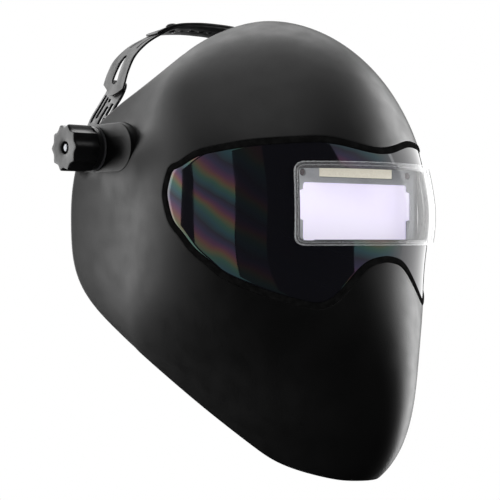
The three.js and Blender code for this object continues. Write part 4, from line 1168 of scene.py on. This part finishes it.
def shell_bush(side):
    """The flanged sleeve that lines the shell's bore."""
    sleeve = BUSH_BORE_R - GAP
    bore = STUD_R + GAP
    tip = PIVOT_PAD_X + 0.4
    low, high = PIVOT_PAD_INNER_X - 1.6, PIVOT_PAD_INNER_X - 0.4
    profile = [
        [bore, low + 0.2], [bore + 0.2, low], [BUSH_FLANGE_R - 0.2, low],
        [BUSH_FLANGE_R, low + 0.2], [BUSH_FLANGE_R, high - 0.2], [BUSH_FLANGE_R - 0.2, high],
        [sleeve + 0.2, high], [sleeve, high + 0.2], [sleeve, tip - 0.3], [sleeve - 0.3, tip],
        [bore + 0.3, tip], [bore, tip - 0.3],
    ]
    return turned(profile, facing_side(side), 48, wrap=True)


def angle_stop(side):
    """A washer with the small pin that limits how far the shell swings."""
    washer = ring_part(ANGLE_STOP_R, STUD_R + GAP, *ANGLE_STOP_X, facing_side(side), 0.2)
    pin = disc_part(STOP_PIN_R, ANGLE_STOP_X[1] - 0.4, 1.2, facing_side(side, *STOP_PIN_AT), 0.2, 24)
    return together(washer, pin)


for side_name, side in SIDES:
    nut = ring_part(NUT_R - GAP, STUD_R + GAP, KNOB_INNER_X + 2, NUT_FACE_X - GAP, facing_side(side))
    washer = ring_part(WASHER_R, STUD_R + GAP, *WASHER_X, facing_side(side))
    for name, part, slot, body, node in (
        ("knob_grip", tension_knob(side), "knob_plastic", f"knob_{side_name}", "tension_knob"),
        ("nut", nut, "nut_brass", f"knob_{side_name}", "knob_nut"),
        ("stud", pivot_stud(side), "stud_steel", "headgear", "pivot_stud"),
        ("washer", washer, "washer_plastic", "headgear", "outer_washer"),
        ("bush", shell_bush(side), "white_plastic", "shell", "shell_bush"),
        ("stop", angle_stop(side), "black_plastic", "headgear", "angle_stop"),
    ):
        piece(f"{name}_{side_name}", part, slot, body, f"{node}_{side_name}")


# ---------- headgear ----------
CURVE_SAMPLES = 40


def centripetal(points):
    """Dense points along the centripetal Catmull-Rom curve through the points."""
    points = np.array(points, float)
    points = np.concatenate([[2 * points[0] - points[1]], points, [2 * points[-1] - points[-2]]])
    dense = []
    for four in zip(points, points[1:], points[2:], points[3:]):
        knots = [0.0]
        for here, after in zip(four, four[1:]):
            knots.append(knots[-1] + np.linalg.norm(after - here) ** 0.5)
        t = np.linspace(knots[1], knots[2], CURVE_SAMPLES, endpoint=False)[:, None]
        row = four
        for spans in (((0, 1), (1, 2), (2, 3)), ((0, 2), (1, 3)), ((1, 2),)):
            row = [
                (knots[j] - t) / (knots[j] - knots[i]) * a + (t - knots[i]) / (knots[j] - knots[i]) * b
                for (i, j), a, b in zip(spans, row, row[1:])
            ]
        dense.append(row[0])
    return np.concatenate([*dense, points[-2:-1]])


def stations_along(points, towards, count):
    """Places along a strip: its length, and at each place the point and the three directions
    across it, along it and out of it, with `across` as near towards as it can be."""
    at = resampled(centripetal(points), count)
    length = float(np.linalg.norm(np.diff(at, axis=0), axis=1).sum())
    along = unit(np.gradient(at, axis=0))
    out = unit(np.cross(np.array(towards, float), along))
    across = unit(np.cross(along, out))
    return {"length": length, "at": at, "across": across, "along": along, "out": out}


def on_strip(stations, side=-1, lift=None):
    """place() for a strip: a runs across it, b along it and t out of it. Stations are drawn on the right."""
    length = stations["length"]
    steps = np.linspace(0, length, len(stations["at"]))

    def place(a, b, t):
        inside = np.clip(b, 0, length)
        read = lambda key: np.stack([np.interp(inside, steps, stations[key][:, c]) for c in range(3)], 1)
        base = read("at")
        raised = t + (lift(base[:, 0]) if lift else 0)
        past = (b - inside)[:, None] * read("along")
        points = base + past + a[:, None] * read("across") + raised[:, None] * read("out")
        return points * [-side, 1, 1]

    return place


def stadium(half_length, radius, a=0.0, b=0.0, end_radius=None):
    """A long slot along b; end_radius gives its upper end another radius."""
    end_radius = radius if end_radius is None else end_radius
    turn = np.linspace(0, np.pi, 9)
    upper = np.stack([a + end_radius * np.cos(turn), b + half_length + end_radius * np.sin(turn)], 1)
    lower = np.stack([a - radius * np.cos(turn), b - half_length - radius * np.sin(turn)], 1)
    return np.concatenate([upper, lower])


def band_z(y):
    """Height of the band's middle line, which slopes down towards the nape."""
    return BAND_FRONT_Z - BAND_SLOPE * (y - BAND_FRONT_Y)


BAND_MM_PER_DEGREE = math.radians(1) * (BAND_HALF_WIDTH + BAND_HALF_LENGTH) / 2


def on_band(inset=0.0):
    """place() round the headband: a is height, b the way round from the brow and t out from the inset."""

    def place(a, b, t):
        turn = np.radians(b / BAND_MM_PER_DEGREE)
        x = (BAND_HALF_WIDTH - inset) * np.sin(turn)
        y = BAND_CENTRE_Y - (BAND_HALF_LENGTH - inset) * np.cos(turn)
        out = unit(np.stack([np.sin(turn) / BAND_HALF_WIDTH, -np.cos(turn) / BAND_HALF_LENGTH, 0 * turn], 1))
        return np.stack([x, y, band_z(y) + a], 1) + out * t[:, None]

    return place


def round_the_band(outlines, low, high, inset, bevel=0.4):
    return plate(outlines, low, high, on_band(inset), bevel, BEND_STEP)


def degrees_round(turn):
    return turn * BAND_MM_PER_DEGREE


BAND_END_TURN = 130
RIVET_TURNS = (56.6, 123.4)
RIVET_R = 2.2
RIVET_HEAD_R = 4
ARM_PATH = [
    [-65.2, -50, -9], [-70.2, -41, -8.5], [-80, -33, -6], [-92, -21, -3], [-101, -9, 0], [-102, 0, 0],
    [-100.5, 12, 0], [-95.5, 24, -2], [-88, 37, -8], [-79, 49, -17], [-69.8, 58, -25], [-64.8, 67, -28],
]
ARM_HALF_WIDTH = 10
ARM_THICKNESS = 2
LOBE_PATH = [
    [-86, 40, -8], [-86.2, 43.5, 6], [-84.5, 44.5, 20], [-79.3, 37, 36], [-75.6, 32.2, 46], [-73.2, 30.4, 55],
]
LOBE_HALF_WIDTH = 13
LOBE_LEAN = (0, -1, 0.1)
EYE_R = 15
EYE_X = (103.2, 105.2)
NECK_R = 12
CROWN_PATH = [
    [-87.6, 37.5, 20], [-80.5, 33.5, 40], [-78, 31, 50], [-75, 29.5, 61], [-70, 28, 71.5],
    [-61.2, 26.4, 80.8], [-50.4, 23.8, 88.2], [-37.5, 20.5, 94.3], [-18, 18.5, 97], [0, 18, 97.5],
]
CROWN_HALF_WIDTH = 15
CROWN_LEAN = (0, -1, 0.1)  # the front edge of the strap is a little higher than the rear one
CROWN_THICKNESS = 1.6
CROWN_OVERLAP_X = 44
CROWN_FOOT_Z = 43  # both halves end at this height, on the lobes of the side arms
CROWN_TIP = 7  # the foot of each half runs out to a blunt tip this long
LIFT_START_X = 84  # the left half rises from here, to lie over the right half
LIFT_END_X = 64
SLOT_SHARE = 6 / 34  # how far along the whole strap its long slot is
SLOT_HALF_LENGTH = 9.4
SLOT_FOOT_R = 3.5
SLOT_TIP_R = 1.8
SLITS = ((9, 7.5, 28), (5, -7.5, 26))  # half length, place across, and distance from the long slot
SLIT_R = 0.9
PEG_R = 2.4
PEG_HEAD_R = 4.4
PEG_X = -32.2
HOLE_PITCH = 9.0
HOLE_MARGIN = 6


def crown_stations():
    descent = [[-x, y, z] for x, y, z in CROWN_PATH[-2::-1]]
    return stations_along([*CROWN_PATH, *descent], CROWN_LEAN, 480)


def length_where(stations, test):
    """Lengths along the strip at which a test on the points holds."""
    steps = np.linspace(0, stations["length"], len(stations["at"]))
    return steps[test(stations["at"])]


def laid_from(outline, start, away):
    """An outline drawn from its foot at zero, laid from `start` along the strap or back along it."""
    laid = outline * [1, away] + [0, start]
    return laid if away > 0 else laid[::-1]


def crown_strap(stations, side):
    """One half of the crown strap: a long slot by its foot, slits, and peg holes where the halves cross."""
    length = stations["length"]
    standing = length_where(stations, lambda at: at[:, 2] > CROWN_FOOT_Z)
    away = -side  # the way along the strap from its foot
    if side < 0:
        low, high = standing[0], length_where(stations, lambda at: at[:, 0] < CROWN_OVERLAP_X)[-1]
        foot, slot_at = low, SLOT_SHARE * length
    else:
        low, high = length_where(stations, lambda at: at[:, 0] > -CROWN_OVERLAP_X - 4)[0], standing[-1]
        foot, slot_at = high, (1 - SLOT_SHARE) * length
    half = (high - low) / 2
    body = rounded_box(CROWN_HALF_WIDTH, half, 4, 0, half)
    tip = [
        [-CROWN_HALF_WIDTH, CROWN_TIP], [-4, 1.2], [-2, 0.3], [0, 0], [2, 0.3], [4, 1.2],
        [CROWN_HALF_WIDTH, CROWN_TIP],
    ]
    outline = laid_from(np.concatenate([tip, body[body[:, 1] > half]]), foot, away)
    slot = laid_from(stadium(SLOT_HALF_LENGTH, SLOT_FOOT_R, end_radius=SLOT_TIP_R), slot_at, away)
    slits = [stadium(reach, SLIT_R, a, slot_at + away * along) for reach, a, along in SLITS]
    peg_at = length_where(stations, lambda at: at[:, 0] > PEG_X)[0]
    hole_places = [peg_at + i * HOLE_PITCH for i in range(-1, 6)]
    holes = [circle(PEG_R + GAP, 0, b, 20) for b in hole_places if low + HOLE_MARGIN < b < high - HOLE_MARGIN]
    rise = lambda x: (CROWN_THICKNESS + GAP) * np.clip((LIFT_START_X - x) / (LIFT_START_X - LIFT_END_X), 0, 1)
    place = on_strip(stations, lift=rise if side > 0 else None)
    return plate([outline, slot, *slits, *holes], 0, CROWN_THICKNESS, place, 0.45, BEND_STEP)


def crown_peg(stations):
    """The press peg that joins the halves, with a domed head."""
    here = int(np.argmax(stations["at"][:, 0] > PEG_X))
    at, across, along, out = (stations[key][here] for key in ("at", "across", "along", "out"))
    place = lambda a, b, t: at + a[:, None] * across + b[:, None] * along + t[:, None] * out
    profile = [
        [0, -1.2], [PEG_R - 0.4, -1.2], [PEG_R, -0.8], [PEG_R, 4.2],
        [PEG_HEAD_R - 0.3, 4.3], [PEG_HEAD_R, 4.6], [PEG_HEAD_R - 0.3, 5.2],
        [PEG_HEAD_R - 1.4, 5.9], [PEG_HEAD_R - 2.8, 6.2], [0, 6.2],
    ]
    return turned(profile, place, 36)


ARM_HOLES = (5.5, 8.5)  # rivet holes, from the front end and from the rear end
EYE_SHARE = 0.437  # how far along the arm the hole for the stud's head is
STRAP_LAP = 14  # the strap covers the lobe's upper end by this much
LOBE_SLOTS = (  # half length, radius, place across, distance below the strap
    (10, 1.3, -8.6, 13), (8, 1.3, -4.0, 11), (7, 1.7, 2.8, 16), (3.2, 1.9, 8.2, 8),
)
LOBE_HOLES = ((7.5, 17), (0.5, 3))  # place across, distance below the strap
LOBE_HOLE_R = 1.5


def side_arm(side):
    """The arm that carries the pivot: a bowed strip, the eye round the stud and the slotted lobe."""
    bow_stations = stations_along(ARM_PATH, (0, 0, 1), 160)
    length = bow_stations["length"]
    bow_outlines = [
        rounded_box(ARM_HALF_WIDTH, length / 2, 6, 0, length / 2),
        circle(RIVET_R + GAP, 0, ARM_HOLES[0], 20), circle(RIVET_R + GAP, 0, length - ARM_HOLES[1], 20),
        circle(STUD_HEAD_R + GAP, 0, length * EYE_SHARE, 40),
    ]
    bow = plate(bow_outlines, 0, ARM_THICKNESS, on_strip(bow_stations, side), 0.5, BEND_STEP)
    lobe_stations = stations_along(LOBE_PATH, LOBE_LEAN, 80)
    lobe_length = lobe_stations["length"]
    top = lobe_length - STRAP_LAP
    lobe_outlines = [rounded_box(LOBE_HALF_WIDTH, lobe_length / 2, 5, 0, lobe_length / 2)]
    lobe_outlines += [stadium(reach, radius, a, top - down) for reach, radius, a, down in LOBE_SLOTS]
    lobe_outlines += [circle(LOBE_HOLE_R, a, top - down, 16) for a, down in LOBE_HOLES]
    lobe = plate(lobe_outlines, 0, ARM_THICKNESS, on_strip(lobe_stations, side), 0.5, BEND_STEP)
    place = facing_side(side)
    eye = ring_part(EYE_R, STUD_R + GAP, *EYE_X, place, 0.4)
    neck = ring_part(NECK_R, STUD_HEAD_R + GAP, STUD_HEAD_X[0] - 1.5, EYE_X[0] + 0.2, place, 0.4)
    return together(bow, lobe, eye, neck)


def rivet(turn):
    """A rivet through the headband and the arm, with a domed head."""
    b = degrees_round(turn)
    ring = on_band()
    centre = ring(np.zeros(2), np.array([b - 0.5, b + 0.5]), np.zeros(2))
    along = unit(centre[1] - centre[0])
    place = lambda a, across, t: ring(a, np.full_like(a, b), t) + across[:, None] * along
    head_r = RIVET_HEAD_R
    profile = [
        [0, -2.9], [head_r - 1.4, -2.9], [head_r - 1.1, -2.5], [RIVET_R, -2.2], [RIVET_R, 5.2],
        [head_r - 0.2, 5.2], [head_r, 5.5], [head_r - 0.4, 6.1], [head_r - 1.6, 6.5], [0, 6.6],
    ]
    return turned(profile, place, 32)


SLOT_TURNS = (72, 86, 100)
SLOT_ROWS = (-7, 7)


def headband():
    """The size-adjusting band, with rivet holes and two rows of slots on each side."""
    outlines = [rounded_box(BAND_HALF_HEIGHT, degrees_round(BAND_END_TURN), 6)]
    for turn in RIVET_TURNS:
        outlines += [circle(RIVET_R + GAP, 0, side * degrees_round(turn), 20) for _, side in SIDES]
    for turn in SLOT_TURNS:
        outlines += [stadium(5, 1.6, a, side * degrees_round(turn)) for _, side in SIDES for a in SLOT_ROWS]
    return round_the_band(outlines, 0, BAND_THICKNESS, BAND_THICKNESS, 0.5)


CROWN = crown_stations()
for side_name, side in SIDES:
    strap = crown_strap(CROWN, side)
    piece(f"crown_half_{side_name}", strap, "strap_plastic", "headgear", f"crown_strap_{side_name}")
    piece(f"pivot_arm_{side_name}", side_arm(side), "black_plastic", "headgear", f"side_arm_{side_name}")
    for end, turn in zip(("front", "rear"), RIVET_TURNS):
        tag = f"{end}_{side_name}"
        piece(f"rivet_{tag}", rivet(side * turn), "black_plastic", "headgear", f"arm_rivet_{tag}")
piece("press_peg", crown_peg(CROWN), "black_plastic", "headgear", "crown_peg")
piece("band", headband(), "black_plastic", "headgear", "headband")


# ---------- nape adjuster and pads ----------
NAPE_TURN = 180
NAPE_Y = BAND_CENTRE_Y + BAND_HALF_LENGTH
NAPE_Z = band_z(NAPE_Y)
HOUSING_SPREAD = 31
HOUSING_DEPTH = 9.5
HOUSING_INSET = 3.5
HOUSING_HALF_HEIGHT = 18
HOUSING_CORNER = 3.2
HOUSING_BACK_Y = NAPE_Y + HOUSING_DEPTH - HOUSING_INSET
CHANNEL_LOW = -1.6
CHANNEL_HIGH = 1.4
CHANNEL_HALF_HEIGHT = 10
CHANNEL_CORNER = 0.4
RACK_TURNS = (130.2, 150)
RACK_INSET = 1
RACK_THICKNESS = 1.6
RACK_HALF_HEIGHT = 8.5
RACK_SLOT_TOP = 3.6
TOOTH_PITCH = 2.4
TOOTH_ROOT = -2.2
TOOTH_DEPTH = 1.5
TEETH_START = 4.5  # from the strap's end at the headband
TEETH_END = 2.5  # from its end in the housing
PINION_R = 6.5
PINION_TEETH = 12
PINION_TOOTH_DEPTH = 1.6
PINION_SHAFT_R = 3
SHAFT_TIP_Y = HOUSING_BACK_Y + 5
NAPE_KNOB_R = 17
NAPE_KNOB_DEPTH = 12
NAPE_KNOB_GAP = 0.8
NAPE_KNOB_SCALLOPS = 14
NAPE_SCALLOP_DEPTH = 1.3
COVER_PLATE = 1.6
COVER_INSET = HOUSING_INSET + GAP + COVER_PLATE
FOAM = 7
SWEAT_TURN = 50


def housing():
    """The ratchet housing: a bowed block with the channel that both racks slide in."""
    place = on_band()
    spread = degrees_round(HOUSING_SPREAD)
    outside = (HOUSING_HALF_HEIGHT, HOUSING_DEPTH / 2, HOUSING_CORNER, HOUSING_DEPTH / 2 - HOUSING_INSET)
    channel_half = (CHANNEL_HIGH - CHANNEL_LOW) / 2
    channel = (CHANNEL_HALF_HEIGHT, channel_half, CHANNEL_CORNER, (CHANNEL_LOW + CHANNEL_HIGH) / 2)

    def loops_of(section, ends):
        """Loops from end to end; ends are (distance from the end, growth of the section there)."""
        half_a, half_t, corner, middle = section
        first = [(grow, -spread + near) for near, grow in ends]
        straight = [(0, b) for b in np.linspace(-spread + 4, spread - 4, 21)]
        loops = []
        for grow, b in first + straight + [(grow, -b) for grow, b in first[::-1]]:
            line = rounded_box(half_a + grow, half_t + grow, corner + grow, 0, middle)
            loops.append(place(line[:, 0], np.full(len(line), degrees_round(NAPE_TURN) + b), line[:, 1]))
        return loops

    block = loops_of(outside, [(0, -1.2), (0.35, -0.35), (1.2, 0)])
    return bridge(block + loops_of(channel, [(0, 0.5), (0.5, 0)])[::-1], wrap=True)


def rack(side):
    """The toothed strap that runs from the end of the headband into the housing."""
    low, high = (degrees_round(turn) for turn in RACK_TURNS)
    outline = rounded_box(RACK_HALF_HEIGHT, (high - low) / 2, 1.5, 0, (high + low) / 2)
    start = low + TEETH_START
    teeth = int((high - TEETH_END - start) / TOOTH_PITCH)
    steps = range(2 * teeth + 1)
    lower = [[TOOTH_ROOT - TOOTH_DEPTH * (i % 2), start + i * TOOTH_PITCH / 2] for i in steps]
    slot = np.array([[RACK_SLOT_TOP, lower[0][1]], *lower, [RACK_SLOT_TOP, lower[-1][1]]])[::-1]
    lines = [outline, slot]
    if side < 0:
        lines = [(line * [1, -1])[::-1] for line in lines]
    return round_the_band(lines, 0, RACK_THICKNESS, RACK_INSET, 0.3)


def nape_pinion():
    """The gear between the racks, on the shaft that the knob sits on."""
    deep = PINION_TOOTH_DEPTH
    low = NAPE_Y - 1
    profile = [
        [0, low], [PINION_R - 0.3, low, deep], [PINION_R, low + 0.2, deep], [PINION_R, low + 1.6, deep],
        [PINION_R - 0.3, low + 1.8, deep], [PINION_SHAFT_R, low + 1.8], [PINION_SHAFT_R, SHAFT_TIP_Y - 0.4],
        [PINION_SHAFT_R - 0.4, SHAFT_TIP_Y], [0, SHAFT_TIP_Y],
    ]
    return turned(profile, facing_front(0, NAPE_Z), PINION_TEETH * 8, PINION_TEETH)


def nape_knob():
    """The ratchet knob: a scalloped grip with a dished face and a pocket for the shaft."""
    grip_r = NAPE_KNOB_R
    low = HOUSING_BACK_Y + NAPE_KNOB_GAP
    high = low + NAPE_KNOB_DEPTH
    pocket = PINION_SHAFT_R + GAP
    dip = NAPE_SCALLOP_DEPTH
    profile = [
        [0, SHAFT_TIP_Y + GAP], [pocket, SHAFT_TIP_Y + GAP], [pocket, low], [grip_r - 2.4, low],
        [grip_r - 1.8, low + 0.3], [grip_r - 1.6, low + 2], [grip_r - 0.5, low + 2.4, dip],
        [grip_r, low + 3.2, dip], [grip_r, high - 2, dip], [grip_r - 0.5, high - 0.8, dip],
        [grip_r - 1.5, high - 0.15, dip], [grip_r - 3, high, dip * 0.5], [grip_r - 5, high - 0.3],
        [grip_r - 7, high - 1.4], [4, high - 1.6], [0, high - 1.6],
    ]
    return turned(profile, facing_front(0, NAPE_Z), NAPE_KNOB_SCALLOPS * 10, NAPE_KNOB_SCALLOPS)


VOXEL_MM = 4.2
PRESSURE = 4
SWELL_MM = 1.3  # the furthest a point of a pad may move under pressure
CLOTH_FRAMES = 20
PAD_CORNER = 8
PAD_SLACK = 1.4  # each face starts this far inside the pad's full thickness
SEAM_REACH = 2.2
SEAM_DEPTH = 0.3
HEM_WIDTH = 5
HEM_SHARE = 0.5  # share of the thickness at the hem, and what the crown adds to it inside the hem
CROWN_SHARE = 0.62
HEM_POWER = 0.6
BROW_SEAM_TURNS = (-25, 0, 25)
NECK_SEAM_TURNS = (-10, 10)


def inflated(part):
    """A closed pad remeshed and swollen under pressure by a cloth simulation."""
    mesh = bpy.data.meshes.new("pad")
    mesh.from_pydata((part[0] * MM).tolist(), [], part[1])
    pad = bpy.data.objects.new("pad", mesh)
    SCENE.collection.objects.link(pad)
    remesh = pad.modifiers.new("Remesh", "REMESH")
    remesh.mode = "VOXEL"
    remesh.voxel_size = VOXEL_MM * MM
    pad.data = bpy.data.meshes.new_from_object(pad.evaluated_get(bpy.context.evaluated_depsgraph_get()))
    pad.modifiers.clear()
    points = np.array([v.co for v in pad.data.vertices], float) / MM
    faces = [list(face.vertices) for face in pad.data.polygons]
    cloth = pad.modifiers.new("Cloth", "CLOTH")
    cloth.settings.use_pressure = True
    cloth.settings.uniform_pressure_force = PRESSURE
    cloth.settings.effector_weights.gravity = 0
    for frame in range(1, CLOTH_FRAMES + 1):
        SCENE.frame_set(frame)
    swollen = pad.evaluated_get(bpy.context.evaluated_depsgraph_get()).data
    moved = np.array([v.co for v in swollen.vertices], float) / MM - points
    far = np.linalg.norm(moved, axis=1, keepdims=True)
    points = points + moved * np.minimum(1, SWELL_MM / np.maximum(far, 1e-6))
    pad.modifiers.clear()
    SCENE.frame_set(1)
    bpy.data.objects.remove(pad)
    return points, faces


def foam_pad(half_height, spread, centre_turn, inset, seams):
    """A cloth-covered foam pad bent round the band: crowned, sewn flat at its hem, with seams across."""
    half_length = degrees_round(spread)
    outline = rounded_box(half_height - 1, half_length - 1, PAD_CORNER)
    flat = lambda a, b, t: np.stack([a, b, t], 1)
    points, faces = inflated(plate([outline], PAD_SLACK, FOAM - PAD_SLACK, flat, bevel=1.6, step=6))
    a, b, t = points.T
    corner_a = np.maximum(0, np.abs(a) - (half_height - 1 - PAD_CORNER))
    corner_b = np.maximum(0, np.abs(b) - (half_length - 1 - PAD_CORNER))
    inside = np.clip(PAD_CORNER - np.hypot(corner_a, corner_b), 0, PAD_CORNER)
    crown = HEM_SHARE + CROWN_SHARE * np.clip(inside / HEM_WIDTH, 0, 1) ** HEM_POWER
    for seam in seams:
        crown = crown * (1 - SEAM_DEPTH * np.exp(-(((b - seam) / SEAM_REACH) ** 2)))
    t = FOAM / 2 + (t - FOAM / 2) * crown
    return on_band(inset)(a, b + degrees_round(centre_turn), np.clip(t, 0.1, FOAM - 0.1)), faces


def padded_piece(name, part, body, node):
    """A pad as a finished, once subdivided object."""
    pad = piece(name, part, "foam_fabric", body, node, sharp=180)
    smooth = pad.modifiers.new("Smooth", "SUBSURF")
    smooth.levels = 1
    smooth.render_levels = 1


def point_on_band(turn):
    """A point on the middle line of the band, in metres."""
    return tuple(on_band()(np.zeros(1), np.array([degrees_round(turn)]), np.zeros(1))[0] * MM)


RACK_LAP = 2  # degrees of the rack that always stay in the housing
for side_name, side in SIDES:
    strap = piece(f"rack_{side_name}", rack(side), "black_plastic", None, f"rack_strap_{side_name}")
    start, end = (point_on_band(side * turn) for turn in (RACK_TURNS[0], RACK_TURNS[1] - RACK_LAP))
    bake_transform(strap)
    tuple(start)
    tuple(end)
piece("housing_block", housing(), "black_plastic", "rear_adjuster", "ratchet_housing")
backing_half_length = degrees_round(HOUSING_SPREAD - 2)
backing = rounded_box(HOUSING_HALF_HEIGHT - 2, backing_half_length, 4, 0, degrees_round(NAPE_TURN))
back_plate = round_the_band([backing], 0, COVER_PLATE, COVER_INSET)
piece("housing_back_plate", back_plate, "black_plastic", "rear_adjuster", "housing_cover")
piece("pinion", nape_pinion(), "white_plastic", "nape_knob", "ratchet_pinion")
piece("nape_grip", nape_knob(), "dial_plastic", "nape_knob", "ratchet_knob")
brow_seams = [degrees_round(turn) for turn in BROW_SEAM_TURNS]
brow_pad = foam_pad(BAND_HALF_HEIGHT + 3, SWEAT_TURN, 0, BAND_THICKNESS + GAP + FOAM, brow_seams)
padded_piece("brow_pad", brow_pad, "headgear", "sweatband")
neck_seams = [degrees_round(turn) for turn in NECK_SEAM_TURNS]
neck_pad = foam_pad(
    HOUSING_HALF_HEIGHT - 1, HOUSING_SPREAD - 3, NAPE_TURN, COVER_INSET + GAP + FOAM, neck_seams
)
padded_piece("neck_pad", neck_pad, "rear_adjuster", "nape_pad")


# ---------- studio ----------
CAMERA_AT = (-0.7097, -0.9140, -0.0673)
CAMERA_HEADING = (0.629, 0.777)
CAMERA_PITCH_DOWN = 0.35
CAMERA_LENS = 106.56
CAMERA_SENSOR = 36
AIM = Vector((0, -0.07, -0.07))


def aimed(obj, direction):
    SCENE.collection.objects.link(obj)
    obj.rotation_euler = direction.to_track_quat("-Z", "Y").to_euler()


def add_camera():
    data = bpy.data.cameras.new("camera")
    data.lens = CAMERA_LENS
    data.sensor_width = CAMERA_SENSOR
    data.clip_end = 50
    camera = bpy.data.objects.new("camera", data)
    camera.location = CAMERA_AT
    aimed(camera, Vector((*CAMERA_HEADING, -math.tan(math.radians(CAMERA_PITCH_DOWN)))))
    SCENE.camera = camera


def soft_light(name, heading, elevation, distance, size, watts, lit=()):
    """A large soft box that faces the helmet. heading is degrees from +Y towards +X; lit limits it
    to some pieces."""
    data = bpy.data.lights.new(name, "AREA")
    data.shape = "RECTANGLE"
    data.size, data.size_y = size
    data.energy = watts
    light = bpy.data.objects.new(name, data)
    turn, lift = math.radians(heading), math.radians(elevation)
    out = Vector((math.sin(turn) * math.cos(lift), math.cos(turn) * math.cos(lift), math.sin(lift)))
    light.location = AIM + out * distance
    aimed(light, -out)
    light.visible_camera = False
    if lit:
        receivers = bpy.data.collections.new(f"{name}_lit")
        for obj in lit:
            receivers.objects.link(obj)
        light.light_linking.receiver_collection = receivers


def add_world():
    world = bpy.data.worlds.new("studio")
    world.use_nodes = True
    background = world.node_tree.nodes["Background"]
    background.inputs["Color"].default_value = grey(1)
    background.inputs["Strength"].default_value = 1.0
    world.cycles_visibility.glossy = False
    SCENE.world = world


add_camera()
add_world()
ON_VISOR = [visor, cover]
OFF_VISOR = [obj for obj in SCENE.objects if obj.type == "MESH" and obj not in ON_VISOR]
# name: heading, elevation, distance, size, watts, and the pieces it lights if not all
SOFT_LIGHTS = {
    "left_rear_panel": (-28, 6, 1.7, (1.8, 1.7), 28),
    "rear_panel": (24, 28, 1.9, (2.2, 2.4), 52),
    "top_panel": (60, 70, 1.9, (1.8, 1.6), 7),
    "front_top_panel": (-110, 62, 1.9, (2.4, 2.2), 14, [shell]),
    "right_panel": (92, 0, 1.7, (1.9, 2.4), 76, OFF_VISOR),
    "visor_side_panel": (-53, 8, 1.7, (1.0, 2.6), 30, [visor]),
    "visor_left_panel": (-90, 8, 1.7, (0.76, 2.6), 10, ON_VISOR),
    "visor_dim_panel": (-112.5, 8, 1.7, (0.6, 2.6), 0.7, [visor]),
    "visor_right_panel": (146, 12, 1.7, (1.8, 3.0), 34, [visor]),
    "visor_edge_panel": (90, 0, 1.7, (1.9, 2.4), 31, ON_VISOR),
}
for name, settings in SOFT_LIGHTS.items():
    soft_light(name, *settings)
SCENE.view_settings.view_transform = "Standard"
